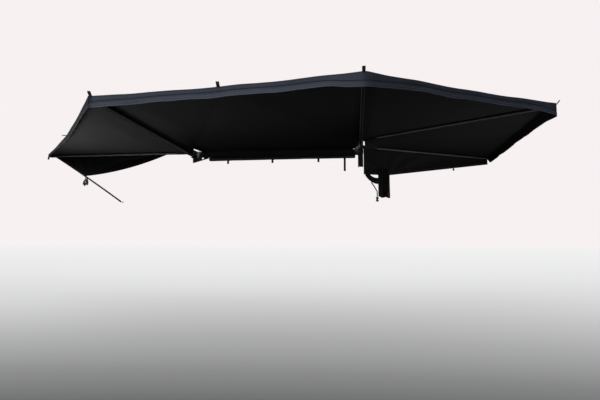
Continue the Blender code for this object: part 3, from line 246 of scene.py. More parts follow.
class Signal:
    """A shader value that can be used in Python expressions."""

    def __init__(self, nodes_of, socket):
        self.nodes_of = nodes_of
        self.socket = socket

    def maths(self, operation, *others, reverse=False):
        terms = [self, *others]
        if reverse:
            terms.reverse()
        return self.nodes_of.node("Math", {"operation": operation}, dict(enumerate(terms)))

    __add__ = __radd__ = partialmethod(maths, "ADD")
    __sub__ = partialmethod(maths, "SUBTRACT")
    __rsub__ = partialmethod(maths, "SUBTRACT", reverse=True)
    __mul__ = __rmul__ = partialmethod(maths, "MULTIPLY")
    __truediv__ = partialmethod(maths, "DIVIDE")
    __rtruediv__ = partialmethod(maths, "DIVIDE", reverse=True)
    __abs__ = partialmethod(maths, "ABSOLUTE")
    sine = partialmethod(maths, "SINE")
    modulo = partialmethod(maths, "FLOORED_MODULO")
    above = partialmethod(maths, "GREATER_THAN")
    below = partialmethod(maths, "LESS_THAN")

    def clamped(self):
        return self.nodes_of.node("Clamp", {}, {"Value": self})


class ShaderNodes:
    """A shader's nodes, each added in the same way."""

    def __init__(self, tree):
        self.tree = tree

    def node(self, kind, settings, inputs, output=0):
        """Adds a node: its settings first, then its sockets' values or links."""
        made = self.tree.nodes.new("ShaderNode" + kind)
        for setting, value in settings.items():
            if setting == "stops":
                elements = made.color_ramp.elements
                while len(elements) < len(value):
                    elements.new(1.0)
                for element, (place, shade) in zip(elements, value):
                    element.position = place
                    element.color = (shade, shade, shade, 1.0)
            else:
                setattr(made, setting, value)
        for key, value in inputs.items():
            socket = made.inputs[key]
            if isinstance(value, Signal):
                self.tree.links.new(value.socket, socket)
            elif socket.type == "RGBA":
                socket.default_value = (*value, 1.0)
            else:
                socket.default_value = value
        return Signal(self, made.outputs[output]) if made.outputs else None

    def place(self):
        """Position on the piece in metres, in its own rest frame."""
        return self.node("TexCoord", {}, {}, "Object")

    def axis(self, letter, vector=None):
        return self.node("SeparateXYZ", {}, {"Vector": vector or self.place()}, letter)

    def fact(self, name):
        """A number stored on the mesh."""
        return self.node("Attribute", {"attribute_name": name}, {}, "Fac")

    def noise(self, scale, detail=3.0, roughness=0.55, vector=None):
        inputs = {"Vector": vector or self.place(), "Scale": scale, "Detail": detail, "Roughness": roughness}
        return self.node("TexNoise", {}, inputs, "Fac")

    def blend(self, share, first, second):
        """Mixes two colours."""
        return self.node("Mix", {"data_type": "RGBA"}, {0: share, 6: first, 7: second}, 2)


def scaled(colour, share, added=0.0):
    return tuple(part * share + added for part in colour)


class Finish(ShaderNodes):
    """One Principled material and the nodes that feed it."""

    def __init__(self, name, colour, roughness, metallic=0.0, **plain):
        self.material = bpy.data.materials.new(name)
        self.material.use_nodes = True
        super().__init__(self.material.node_tree)
        self.shader = self.tree.nodes["Principled BSDF"]
        plain.update(Base_Color=(*colour, 1.0), Roughness=roughness, Metallic=metallic)
        for socket, value in plain.items():
            self.shader.inputs[socket.replace("_", " ")].default_value = value

    def feed(self, socket, signal):
        self.tree.links.new(signal.socket, self.shader.inputs[socket])

    def tint(self, share, colour, dark, light):
        self.feed("Base Color", self.blend(share, scaled(colour, dark), scaled(colour, light)))

    def finished(self, roughness, height, strength, distance):
        """Feeds the roughness and the relief, and gives the material."""
        self.feed("Roughness", roughness)
        bump = self.node("Bump", {}, {"Strength": strength, "Distance": distance, "Height": height})
        self.feed("Normal", bump)
        return self.material


WEAVE_PITCH = 0.0032
STITCH_PITCH = 0.006
STITCH_HALF = 0.0012
HEM_STITCHES = (0.022, 0.004)
SLEEVE_STITCHES = (0.034, 0.040)
HEM_BAND = 0.025
SLEEVE_HALF = 0.043
SEAM_PLACE = 0.046
SEAM_HALF = 0.0045
EDGE_BAND = 0.009


def stitched(distance, along, line):
    """A row of stitches at a distance from an edge."""
    near = abs(distance - line).below(STITCH_HALF)
    return near * along.modulo(STITCH_PITCH).below(STITCH_PITCH * 0.65)


def canvas_finish(name, colour, seam_colour, roughness, sheen, gloss=0.10, darkened="trim"):
    """Coated canvas: a plain weave, soft mottling, sewn bands and stitches."""
    finish = Finish(name, colour, roughness, Sheen_Weight=sheen, Sheen_Roughness=0.5,
                    Specular_IOR_Level=gloss)
    across = finish.fact("cloth_u")
    along = finish.fact("cloth_v")
    hem = abs(finish.fact("hem_m"))
    arm = abs(finish.fact("arm_m"))
    weave = (across * (tau / WEAVE_PITCH)).sine() * (along * (tau / WEAVE_PITCH)).sine()
    mottle = finish.noise(5.5, 5.0, 0.6)
    fine = finish.noise(46.0, 3.0, 0.6)
    stitches = sum(stitched(hem, along + across, line) for line in HEM_STITCHES)
    stitches = (stitches + sum(stitched(arm, along, line) for line in SLEEVE_STITCHES)).clamped()
    seam = abs(hem - SEAM_PLACE).below(SEAM_HALF)
    doubled = (hem.below(HEM_BAND) + arm.below(SLEEVE_HALF)).clamped()
    tone = (mottle * 0.7 + fine * 0.3 + weave * 0.05).clamped()
    body = finish.blend(tone, scaled(colour, 0.72), scaled(colour, 1.30))
    # The last tint darkens the colour by the darkened fact: painted shade over the beam on the underside,
    # and the darkened valances on the outer face.
    for share, tint in ((doubled * 0.35, 1.15), (hem.below(EDGE_BAND) * 0.6, 1.6), (seam * 0.75, 0.15),
                        (finish.fact(darkened) * 0.97, 0.05)):
        body = finish.blend(share, body, scaled(colour, tint))
    finish.feed("Base Color", finish.blend(stitches, body, seam_colour))
    height = weave * 0.25 + fine * 0.5 + doubled * 1.2 + stitches * 0.8 - seam * 1.5
    return finish.finished(mottle * 0.16 + (roughness - 0.08), height, 0.35, 0.0012)


def powder_finish(name, colour, roughness, gloss=0.5, flank_highlight=None):
    """Powder coat: fine orange peel, dusty tops, rubbed patches, and a painted highlight on the lower edges
    and lower flanks.
    """
    finish = Finish(name, colour, roughness, Specular_IOR_Level=gloss, Coat_Weight=0.05 * gloss)
    peel = finish.noise(420.0, 2.0, 0.5)
    patch = finish.noise(7.0, 5.0, 0.65)
    rub = (patch - 0.60) * 5.0
    facing = finish.node("NewGeometry", {}, {}, "Normal")
    upward = finish.axis("Z", facing)
    dust = (upward * 0.5).clamped() * patch
    # Painted highlight: the lower rounded edges, which face down and out, get a pale grey as if lit from
    # below.
    edge = upward.above(-0.97) * upward.below(-0.2)
    tone = finish.blend(rub.clamped() * 0.5, colour, scaled(colour, 2.4, 0.006))
    tone = finish.blend(edge * 0.8, tone, (0.140, 0.140, 0.145))
    if flank_highlight:
        # Painted highlight on the lower part of each arm's side faces.
        rise = (finish.axis("Z") - LOWEST_ARM).modulo(ARM_PITCH)
        low = (1.0 - rise / 0.018).clamped() * abs(upward).below(0.2)
        tone = finish.blend(low * (patch + 0.5).clamped(), tone, flank_highlight)
    finish.feed("Base Color", finish.blend(dust * 0.25, tone, (0.060, 0.058, 0.055)))
    return finish.finished(patch * 0.22 + (roughness - 0.10), peel, 0.12, 0.0004)


def drawn_finish(name, colour, roughness, metallic, axis):
    """Drawn or extruded metal with fine lines along one axis."""
    finish = Finish(name, colour, roughness, metallic)
    stretch = {"X": (1.5, 900.0, 900.0), "Z": (900.0, 900.0, 2.0)}[axis]
    lined = finish.node("VectorMath", {"operation": "MULTIPLY"}, {0: finish.place(), 1: stretch})
    lines = finish.noise(1.0, 2.0, 0.5, lined)
    patch = finish.noise(9.0, 4.0, 0.6)
    finish.tint(patch, colour, 0.75, 1.5)
    return finish.finished(lines * 0.20 + patch * 0.12 + (roughness - 0.14), lines, 0.10, 0.0003)


def moulded_finish(name, colour, roughness):
    """Moulded nylon with a spark-eroded grain."""
    finish = Finish(name, colour, roughness, Specular_IOR_Level=0.45)
    grain = finish.noise(650.0, 3.0, 0.7)
    patch = finish.noise(18.0, 4.0, 0.6)
    finish.tint(patch, colour, 0.8, 1.6)
    return finish.finished(patch * 0.2 + (roughness - 0.10), grain, 0.2, 0.0004)


def webbing_finish(name, colour):
    """Woven strap: ribs across, rows of picks along, a bar-tacked stitch pattern and raised edges."""
    finish = Finish(name, colour, 0.72, Sheen_Weight=0.04, Sheen_Roughness=0.4, Specular_IOR_Level=0.2)
    across = finish.fact("cloth_u")
    along = finish.fact("cloth_v")
    ribs = (across * (tau / 0.0028)).sine()
    picks = (along * (tau / 0.0016) + ribs * 1.3).sine()
    edge = (abs(across) - 0.0105) * 400.0
    fuzz = finish.noise(160.0, 4.0, 0.6)
    tack = abs(along - 0.012).below(0.009) * (across * (tau / 0.0042) + along * 900.0).sine().above(0.55)
    tone = (ribs * 0.15 + picks * 0.2 + fuzz * 0.9).clamped()
    body = finish.blend(tone, scaled(colour, 0.6), scaled(colour, 1.9))
    finish.feed("Base Color", finish.blend(tack * 0.6, body, (0.050, 0.050, 0.052)))
    return finish.finished(fuzz * 0.2 + 0.62, ribs * 0.4 + picks * 0.5 + edge.clamped() * 0.8, 0.5, 0.0006)


def vinyl_finish(name, colour):
    """Coated travel-cover cloth: creased, slightly glossy, with a faint scrim."""
    finish = Finish(name, colour, 0.42, Specular_IOR_Level=0.5)
    crease = finish.noise(26.0, 6.0, 0.68)
    scrim = (finish.axis("X") * (tau / 0.004)).sine()
    dusty = finish.noise(6.0, 5.0, 0.65)
    finish.tint(dusty, colour, 0.7, 2.2)
    return finish.finished(dusty * 0.25 + 0.30, crease + scrim * 0.03, 0.6, 0.004)


under_canvas = canvas_finish("canvas_underside", (0.0155, 0.0157, 0.0162), (0.040, 0.041, 0.043), 0.80, 0.0,
                             darkened="shade")
outer_canvas = canvas_finish("canvas_outer_face", (0.0240, 0.0285, 0.0400), (0.065, 0.070, 0.080), 0.80, 0.0)
# Painted shade: a darker copy of the canvas for the front hanging flap.
shaded_flap_canvas = canvas_finish("shaded_flap_canvas", (0.0030, 0.0030, 0.0033), (0.010, 0.010, 0.011), 0.78, 0.0, 0.06)
tail_canvas = canvas_finish("gathered_canvas", (0.0150, 0.0152, 0.0160), (0.020, 0.021, 0.022), 0.72, 0.02)
# The arms' last colour is the painted highlight on their lower flanks.
arm_paint = powder_finish("arm_powder_coat", (0.0030, 0.0030, 0.0033), 0.42, 0.15, (0.30, 0.30, 0.31))
bracket_paint = powder_finish("bracket_powder_coat", (0.009, 0.009, 0.0095), 0.44)
beam_finish = drawn_finish("anodised_extrusion", (0.020, 0.020, 0.021), 0.42, 0.65, "X")
bolt_finish = drawn_finish("black_zinc_steel", (0.070, 0.068, 0.066), 0.38, 0.85, "Z")
nylon = moulded_finish("moulded_nylon", (0.007, 0.007, 0.007), 0.50)
washer_nylon = moulded_finish("bearing_nylon", (0.020, 0.020, 0.021), 0.42)
webbing = webbing_finish("black_webbing", (0.0065, 0.0065, 0.0070))
vinyl = vinyl_finish("rolled_cover_vinyl", (0.010, 0.010, 0.0105))


# Mesh tools

def smooth_step(value):
    value = min(1.0, max(0.0, value))
    return value * value * (3 - 2 * value)


def add_piece(name, mesh, body, finishes=(), smooth=True, replaces=()):
    """Adds a piece at its place at rest and lets it ride on a body."""
    obj = bpy.data.objects.new(name, mesh)
    link(obj)
    for finish in finishes:
        mesh.materials.append(finish)
    if smooth:
        mesh.shade_smooth()
        mesh.set_sharp_from_angle(angle=radians(40))
    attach(obj, body)
    if replaces:
        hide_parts(*replaces)
    return obj


def add_webbing(name, mesh, body, *replaced):
    return add_piece(name, mesh, body, (webbing,), replaces=replaced)


def note(facts, **values):
    """Keeps one point's numbers for the finishes."""
    for name, value in values.items():
        facts.setdefault(name, []).append(value)


def set_facts(mesh, facts):
    for name, values in facts.items():
        attribute = mesh.attributes.new(name, "FLOAT", "POINT")
        attribute.data.foreach_set("value", values)


def face_outward(mesh):
    shape = bmesh.new()
    shape.from_mesh(mesh)
    bmesh.ops.recalc_face_normals(shape, faces=shape.faces)
    shape.to_mesh(mesh)
    shape.free()


def thin_sheet(name, under, over, facts):
    """A closed sheet between two grids of points. Its first finish is on the under face."""
    rows = len(under)
    columns = len(under[0])
    count = rows * columns
    points = [p for row in under for p in row] + [p for row in over for p in row]
    faces = []
    kinds = []

    def at(layer, r, c):
        return layer * count + r * columns + c

    for r in range(rows - 1):
        for c in range(columns - 1):
            faces.append((at(0, r, c), at(0, r, c + 1), at(0, r + 1, c + 1), at(0, r + 1, c)))
            faces.append((at(1, r, c), at(1, r + 1, c), at(1, r + 1, c + 1), at(1, r, c + 1)))
            kinds += [0, 1]
    rim = [(0, c) for c in range(columns)] + [(r, columns - 1) for r in range(1, rows)]
    rim += [(rows - 1, c) for c in range(columns - 2, -1, -1)] + [(r, 0) for r in range(rows - 2, 0, -1)]
    for (r, c), (nr, nc) in zip(rim, rim[1:] + rim[:1]):
        faces.append((at(0, nr, nc), at(0, r, c), at(1, r, c), at(1, nr, nc)))
        kinds.append(1)
    mesh = bpy.data.meshes.new(name)
    mesh.from_pydata([tuple(p) for p in points], [], faces)
    mesh.polygons.foreach_set("material_index", kinds)
    set_facts(mesh, {key: values + values for key, values in facts.items()})
    face_outward(mesh)
    return mesh


def lofted(name, rings, facts=None):
    """A closed solid through rings of points."""
    steps = len(rings[0])
    points = [tuple(p) for ring in rings for p in ring]
    faces = [tuple(range(steps))[::-1], tuple(range(len(points) - steps, len(points)))]
    for start in range(0, len(points) - steps, steps):
        for i in range(steps):
            j = (i + 1) % steps
            faces.append((start + i, start + j, start + steps + j, start + steps + i))
    mesh = bpy.data.meshes.new(name)
    mesh.from_pydata(points, [], faces)
    if facts:
        set_facts(mesh, facts)
    face_outward(mesh)
    return mesh


def strides(line):
    """For each point of a line, the way from the point before it to the point after."""
    return [after - before for before, after in zip([line[0], *line], [*line[1:], line[-1]])]


def travelled(line):
    """For each point of a line, its distance from the start along the line."""
    return list(accumulate(((b - a).length for a, b in zip(line, line[1:])), initial=0.0))


def there_and_back(leg, turn):
    """A loop's ways and stand-offs: out along a leg, round a turn and back on the other side."""
    return leg + turn + [(way, -off) for way, off in reversed(leg)]


def strap_mesh(name, path, side, width, thickness):
    """Webbing along a path of points: a flat section with soft edges, wide along side.

    side is one direction for the whole path or a list with one for each point."""
    rings = []
    facts = {}
    section = [(-0.5, -0.30), (-0.46, -0.5), (0.46, -0.5), (0.5, -0.30), (0.5, 0.30), (0.46, 0.5),
               (-0.46, 0.5), (-0.5, 0.30)]
    for i, (point, stride, gone) in enumerate(zip(path, strides(path), travelled(path))):
        wide = side[i] if isinstance(side, list) else side
        normal = stride.normalized().cross(wide).normalized()
        rings.append([point + wide * (a * width) + normal * (b * thickness) for a, b in section])
        for a, _ in section:
            note(facts, cloth_u=a * width, cloth_v=gone)
    return lofted(name, rings, facts)


def arm_level(arm):
    return LOWEST_ARM + ARM_PITCH * ARM_STACK[arm]


def arm_matrix(arm):
    turn = Matrix.Rotation(radians(ARM_AZIMUTH[arm]), 4, "Z")
    return Matrix.Translation(HUBS[ARM_HUB[arm]]) @ turn


def on_arm(arm, points):
    matrix = arm_matrix(arm)
    return [matrix @ Vector(p) for p in points]


def arm_way(arm, reach, across, up=0.0):
    """A direction given along and across an arm."""
    return (arm_matrix(arm).to_3x3() @ Vector((reach, across, up))).normalized()


def broken_line(corners, steps):
    """Points along the straight runs between corners."""
    line = [start.lerp(end, i / steps) for start, end in zip(corners, corners[1:]) for i in range(steps)]
    return line + [corners[-1]]


def ripple(x, y, z):
    """Smooth random height between about -1 and 1."""
    return noise.noise(Vector((x, y, z)))


# Guy strap

def quadratic(start, control, end, steps):
    """Points on a smooth curve that leaves start towards control and ends at end."""
    start, control, end = (Vector(p) for p in (start, control, end))
    return [start * (1 - t) ** 2 + control * 2 * t * (1 - t) + end * t * t
            for t in (i / steps for i in range(steps + 1))]


def flat_strap(name, arm, route, across, width, thickness):
    """Webbing that lies flat in a plane beside its arm, along a route in that plane."""
    path = on_arm(arm, [(p.x, across, p.y) for p in route])
    normal = arm_way(arm, 0, 1)
    sides = [stride.cross(normal).normalized() for stride in strides(path)]
    return strap_mesh(name, path, sides, width, thickness), path


def hung_point(rise, across):
    """Reach and height of a point on the tensioner, which hangs tilted from the flap's corner."""
    tilt = radians(TENSIONER_TILT)
    return Vector((GUY_CORNER[0] + across * cos(tilt) - rise * sin(tilt),
                   GUY_CORNER[1] - TENSIONER_SETBACK + rise * cos(tilt) + across * sin(tilt)))


def make_tensioner_webbing():
    """The strap's loop round the tensioner's lower bar, and its loose end beside the bar."""
    back = -FLAP_OFFSET - FABRIC - GUY_LIFT - STRAP_THICKNESS - GAP
    middle = back - TENSIONER_THICKNESS / 2
    stand_off = TENSIONER_THICKNESS / 2 + GAP + STRAP_THICKNESS / 2
    steps = range(TENSIONER_STEPS + 1)
    leg = [(LOOP_TOP + (LOOP_BOTTOM - LOOP_TOP) * i / TENSIONER_STEPS, stand_off) for i in steps]
    angles = [pi * i / 8 for i in range(1, 8)]
    turn = [(LOOP_BOTTOM - TENSIONER_TURN * sin(angle), stand_off * cos(angle)) for angle in angles]
    route = []
    for rise, out in there_and_back(leg, turn):
        spot = hung_point(rise, 0.0)
        route.append((spot.x, middle + out, spot.y))
    tilt = radians(TENSIONER_TILT)
    side = arm_way("arm_1", cos(tilt), 0, sin(tilt))
    loop = strap_mesh("tensioner_loop", on_arm("arm_1", route), side, LOOP_WIDTH, STRAP_THICKNESS)
    loose = broken_line([hung_point(*spot) for spot in LOOSE_END], 5)
    tail, _ = flat_strap("strap_loose_end", "arm_1", loose, middle - stand_off - LOOSE_END_LIFT, LOOP_WIDTH,
                         STRAP_THICKNESS)
    return [add_webbing("tensioner_loop", loop, "arm_1"), add_webbing("strap_loose_end", tail, "arm_1")]


def make_guy_strap():
    start, corner, end = (Vector(p) for p in (GUY_TOP, GUY_CORNER, GUY_END))
    route = quadratic(start, corner * 2 - (start + end) / 2, end, GUY_POINTS)
    middle = -FLAP_OFFSET - FABRIC - GUY_LIFT - STRAP_THICKNESS / 2
    mesh, path = flat_strap("guy_webbing", "arm_1", route, middle, GUY_WIDTH, STRAP_THICKNESS)
    strap = add_webbing("guy_webbing", mesh, "arm_1", "guy_strap")
    carried = [nodes["guy_hook"], nodes["guy_tensioner"], *make_tensioner_webbing()]


make_guy_strap()


# Canopy

def lift(reach):
    tube_end = ARM_REACH - TIP_SETBACK - TIP_LENGTH + TIP_PLUG / 2
    ramp_start = tube_end + GAP
    ramp_end = ARM_REACH - TIP_SETBACK - TIP_FLAT
    return GAP + TIP_RISE * min(1.0, max(0.0, (reach - ramp_start) / (ramp_end - ramp_start)))


def arm_point(arm, reach, across=0.0):
    spot = arm_matrix(arm) @ Vector((reach, across, 0.0))
    return Vector((spot.x, spot.y, arm_level(arm) + TUBE_HEIGHT + lift(reach)))


def reach_at(share):
    return HUB_CLEAR + (ARM_REACH - HUB_CLEAR) * share


def flat_unit(start, end):
    return Vector((end.x - start.x, end.y - start.y, 0.0)).normalized()


def belly(share):
    return 4 * share * (1 - share) * (1 - HEM_SHARE) + HEM_SHARE * share


def hem_normal(arm, neighbour):
    chord = flat_unit(arm_point(arm, ARM_REACH), arm_point(neighbour, ARM_REACH))
    normal = Vector((chord.y, -chord.x, 0.0))
    outward = arm_point(arm, ARM_REACH) - HUBS[ARM_HUB[arm]]
    return normal if normal.dot(outward) > 0 else -normal


def side_of(arm, neighbour):
    local = arm_matrix(arm).inverted() @ arm_point(neighbour, ARM_REACH)
    return 1 if local.y > 0 else -1


def tension_folds(arm, neighbour, part, share):
    """Height of the cloth's shallow folds, alike from both sides of a panel's middle."""
    first, second = sorted((arm, neighbour))
    span = part if arm == first else 1 - part
    seed = ARMS.index(first) * 7.3
    window = smooth_step(part / 0.10)
    near_hem = share ** 3
    fan = sin(pi * (7 * span + 2.2 * share) + seed) * FAN_DEPTH * (0.25 + 0.75 * share)
    pulls = sum(exp(-((place - 0.64 * (1 - share)) / 0.05) ** 2) for place in (span, 1 - span))
    creases = -CREASE_DEPTH * pulls * share
    soft = ripple(span * 5.0 + seed, share * 4.0, seed) * SOFT_DEPTH
    small = ripple(span * 17.0, share * 15.0, seed + 3.0) * SMALL_DEPTH
    pleats = sin(tau * 5 * span + seed) + 0.5 * sin(tau * 9 * span + 2 * seed)
    pleats *= LAST_PLEAT_DEPTH if second == "arm_5" else PLEAT_DEPTH
    pleats *= smooth_step(share / 0.04) * exp(-(share / 0.15) ** 2)
    return window * (fan * near_hem + creases + soft * (1 - 0.6 * near_hem) + small + pleats)


def panel_point(arm, neighbour, share, across):
    side = side_of(arm, neighbour)
    hub = HUBS[ARM_HUB[arm]]
    middle = (arm_point(arm, ARM_REACH) + arm_point(neighbour, ARM_REACH)) / 2
    fold_start = hub + flat_unit(hub, middle) * HUB_CLEAR
    edge = arm_point(arm, reach_at(share), side * STRIP_HALF)
    fold = fold_start.lerp(middle, share)
    place_at = edge.lerp(fold, across)
    part = across / 2
    arch = 4 * part * (1 - part)
    inset = HEM_INSETS[tuple(sorted((arm, neighbour)))]
    place_at -= hem_normal(arm, neighbour) * inset * arch * share * share
    own = arm_level(arm) + TUBE_HEIGHT + lift(reach_at(share))
    other = arm_level(neighbour) + TUBE_HEIGHT + lift(reach_at(share))
    place_at.z = own + (other - own) * part - SAG * arch * belly(share)
    return place_at


def painted_shade_by_beam(point):
    """Share of painted shade on the long side's underside: darkest over the beam, clearing towards its hem.
    """
    return 1.0 - smooth_step((-point.y - SHADE_START) / SHADE_RUN)


def valance_depth(arm, neighbour, across):
    depth = VALANCE
    if {arm, neighbour} == {"arm_1", "arm_2"}:
        part = across / 2 if arm == "arm_1" else 1 - across / 2
        depth = FRONT_VALANCE + (VALANCE - FRONT_VALANCE) * part
    return depth + VALANCE_CORNERS[arm] * max(0.0, 1 - across / VALANCE_CORNER_RUN) ** 2


def gore_columns(arm):
    """Places across an arm's cloth: the neighbour, the share of the way to its fold and the side."""
    order = ARMS.index(arm)
    sides = {side_of(arm, ARMS[i]): ARMS[i] for i in (order - 1, order + 1) if 0 <= i < len(ARMS)}
    steps = [i / CLOTH_COLUMNS for i in range(CLOTH_COLUMNS + 1)]
    columns = []
    for side, run in ((1, steps[::-1]), (-1, steps)):
        columns += [(sides[side], step, side) for step in run] if side in sides else [(None, 0.0, side)]
    return columns


def gore_grids(arm):
    """Points of the cloth that one arm carries, with the hanging hem, and what its finish needs."""
    columns = gore_columns(arm)
    along = arm_way(arm, 1, 0)
    to_arm = arm_matrix(arm).inverted()
    run = ARM_REACH - HUB_CLEAR
    shares = {-HUB_REACH_IN / run, ROW_BY_HEM, (ARM_REACH - TIP_SETBACK - TIP_FLAT - HUB_CLEAR) / run, 1.0}
    shares.update(i / CLOTH_ROWS for i in range(CLOTH_ROWS))
    under = []
    over = []
    facts = {}
    for share in sorted(shares):
        under.append([])
        over.append([])
        for neighbour, across, side in columns:
            if neighbour:
                point = panel_point(arm, neighbour, share, across)
                point.z += tension_folds(arm, neighbour, across / 2, share)
                outward = hem_normal(arm, neighbour)
            else:
                point = arm_point(arm, reach_at(share), side * STRIP_HALF)
                outward = along
            under[-1].append(point)
            over[-1].append(point + UP * FABRIC + (outward * FABRIC if share == 1.0 else Vector()))
            local = to_arm @ point
            shade = painted_shade_by_beam(point) if {arm, neighbour} == {"arm_2", "arm_3"} else 0.0
            note(facts, cloth_u=local.y, cloth_v=local.x, hem_m=(1.0 - share) * run + HEM_ZERO,
                 arm_m=local.y, trim=0.0, shade=shade)
    hem = under[-1]
    for step in range(1, VALANCE_ROWS + 1):
        drop = step / VALANCE_ROWS
        under.append([])
        over.append([])
        for start, (neighbour, across, _) in zip(hem, columns):
            outward = hem_normal(arm, neighbour) if neighbour else along
            depth = valance_depth(arm, neighbour, across) if neighbour else FRONT_VALANCE
            way = start.x * 0.8 + start.y
            wave = sin(way * 19.0 + 1.7 * sin(way * 5.0)) * HEM_WAVE * drop
            wave += ripple(way * 6.0, drop * 1.5, 4.0) * HEM_RIPPLE * drop
            hitch = ripple(way * 3.7, 8.0, 2.0) * 0.005 + sin(way * 31.0) * 0.0012
            window = smooth_step(across / 0.15) if neighbour else 0.0
            point = start - UP * (depth + hitch * window) * drop
            point += outward * (wave * window - HEM_LEAN * drop)
            under[-1].append(point)
            over[-1].append(point + outward * FABRIC * (TURNED_THICKNESS if drop > TURNED_UP else 1.0))
            local = to_arm @ point
            trim = DARK_HEMS.get(tuple(sorted((arm, neighbour or arm))), 0.0)
            note(facts, cloth_u=local.y, cloth_v=local.x + depth * drop, hem_m=depth * (1 - drop) + HEM_ZERO,
                 arm_m=CLEAR_OF_ARM, trim=trim, shade=0.0)
    return under, over, facts


def surface_area(grid):
    total = 0.0
    for upper, lower in zip(grid, grid[1:]):
        for i in range(len(upper) - 1):
            first = (upper[i + 1] - upper[i]).cross(lower[i] - upper[i]).length
            second = (upper[i + 1] - lower[i + 1]).cross(lower[i] - lower[i + 1]).length
            total += (first + second) / 2
    return total


def declare_sheet(grid):
    """Works out how large the cloth was cut: a rectangle that takes its flat area in these proportions."""
    area = surface_area(grid)
    length = max((row[len(row) // 2] - grid[0][len(grid[0]) // 2]).length for row in grid)
    width = max((row[-1] - row[0]).length for row in grid)
    while width * length < area * 1.01:
        width *= 1.1
    while area < 0.31 * width * length:
        width *= 0.9


def add_cloth(name, grids, body, replaced, inner=under_canvas):
    under, over, facts = grids
    mesh = thin_sheet(name, under, over, facts)
    cloth = add_piece(name, mesh, body, (inner, outer_canvas), replaces=[replaced])
    declare_sheet(under)
    return cloth


def gore_squash(arm):
    """How cloth and what is sewn to it folds towards its arm."""
    return arm + "_swing", tuple(arm_way(arm, 0, 1)), tuple(arm_point(arm, 1.0)), FOLDED_SHARE


def make_canopy():
    for arm in ARMS:
        gore = add_cloth("gore_" + arm, gore_grids(arm), arm, "canopy_" + arm)
        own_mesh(gore)


def make_centre_panel():
    """The long side's cloth between the folds, from its edge on the beam outwards."""
    line = BEAM_TOP + GAP
    under = []
    facts = {}
    columns = 2 * CLOTH_COLUMNS
    for share in [None] + [i / CLOTH_ROWS * 0.985 for i in range(CLOTH_ROWS + 1)]:
        on_beam = share is None
        if on_beam:
            share = 0.0
            left, right = (Vector((end, -CENTRE_EDGE_DEPTH, line)) for end in (-CENTRE_EDGE, CENTRE_EDGE))
            left_fold = right_fold = 0.0
        else:
            left = panel_point("arm_2", "arm_3", share, 1.0)
            right = panel_point("arm_3", "arm_2", share, 1.0)
            left_fold = tension_folds("arm_2", "arm_3", 0.5, share)
            right_fold = tension_folds("arm_3", "arm_2", 0.5, share)
        under.append([])
        for i in range(columns + 1):
            part = i / columns
            point = left.lerp(right, part)
            point.z -= SAG * 4 * part * (1 - part) * belly(share) * (1 - share)
            point.z += left_fold * (1 - part) + right_fold * part
            if not on_beam:
                inside = sin(pi * part) * (1 - share)
                point.z += ripple(point.x * 2.6, point.y * 2.2, 9.0) * 0.012 * inside
            under[-1].append(point)
            note(facts, cloth_u=point.x, cloth_v=-point.y, hem_m=abs(0.3 + point.y) + 0.05,
                 arm_m=CLEAR_OF_ARM, trim=0.0, shade=painted_shade_by_beam(point))
    over = [[p + UP * FABRIC for p in row] for row in under]
    panel = add_cloth("centre_panel", (under, over, facts), "frame", "canopy_centre")
    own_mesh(panel)


# End flaps

def flap_bottom(line, belly_depth, reach):
    """Height of a flap's lower edge: by the hub it may belly, and beyond the corner it is straight."""
    hub_end, corner, tip = (Vector(p) for p in line)
    start, end = (hub_end, corner) if reach <= corner.x else (corner, tip)
    share = (reach - start.x) / (end.x - start.x)
    drop = belly_depth * 4 * share * (1 - share) if start == hub_end else 0.0
    return start.lerp(end, share).y - drop


def flap_fold(reach, height, share, start, corner, tip):
    """How far a flap stands out from its arm: folds that fan out from the corner it is pulled at."""
    away = Vector((reach - corner[0], 2 * (height - corner[1])))
    fan = 0.5 + 0.5 * sin(FLAP_FOLDS * atan2(away.y, away.x))
    window = smooth_step((reach - start) / FLAP_HUB_RUN) * smooth_step((tip[0] - reach) / FLAP_FOLD_RUN)
    window *= sin(pi * share) ** 2
    slack = ripple(reach * 7.0, height * 16.0, 2.0) * 0.0022
    slack += ripple(reach * 22.0, height * 40.0, 7.0) * 0.0007
    return max(0.0, FLAP_FOLD_DEPTH * fan + slack) * window


def flap_grids(arm, line, belly_depth, side):
    """A hanging flap from the top of its arm down to its hem."""
    start, corner, tip = line[0][0], line[1], line[2]
    top = arm_level(arm) + TUBE_HEIGHT + GAP + FABRIC
    columns = [start + (tip[0] - start) * c / FLAP_COLUMNS for c in range(FLAP_COLUMNS + 1)]
    nearest = min(range(1, FLAP_COLUMNS), key=lambda c: abs(columns[c] - corner[0]))
    columns[nearest] = corner[0]
    under = []
    over = []
    facts = {}
    for r in range(FLAP_ROWS + 1):
        share = r / FLAP_ROWS
        under.append([])
        over.append([])
        for reach in columns:
            low = flap_bottom(line, belly_depth, reach)
            height = top + (low - top) * share
            out = FLAP_OFFSET + flap_fold(reach, height, share, start, corner, tip)
            under[-1].append((reach, side * out, height))
            over[-1].append((reach, side * (out + FABRIC), height))
            note(facts, cloth_u=reach, cloth_v=height, hem_m=height - low + HEM_ZERO, arm_m=CLEAR_OF_ARM)
    return [on_arm(arm, row) for row in under], [on_arm(arm, row) for row in over], facts


def make_flaps():
    hub_end = (FRONT_FLAP_START, arm_level("arm_1") + TUBE_HEIGHT / 2)
    front = flap_grids("arm_1", (hub_end, FRONT_FLAP_CORNER, FRONT_FLAP_TIP), FLAP_BELLY, -1)
    add_cloth("front_hanging_flap", front, "arm_1", "front_flap", shaded_flap_canvas)
    hub_end = (REAR_FLAP_START, REAR_FLAP_HUB_DROP)
    rear = flap_grids("arm_5", (hub_end, REAR_FLAP_CORNER, REAR_FLAP_TIP), 0.0, 1)
    add_cloth("rear_hanging_flap", rear, "arm_5", "rear_flap")


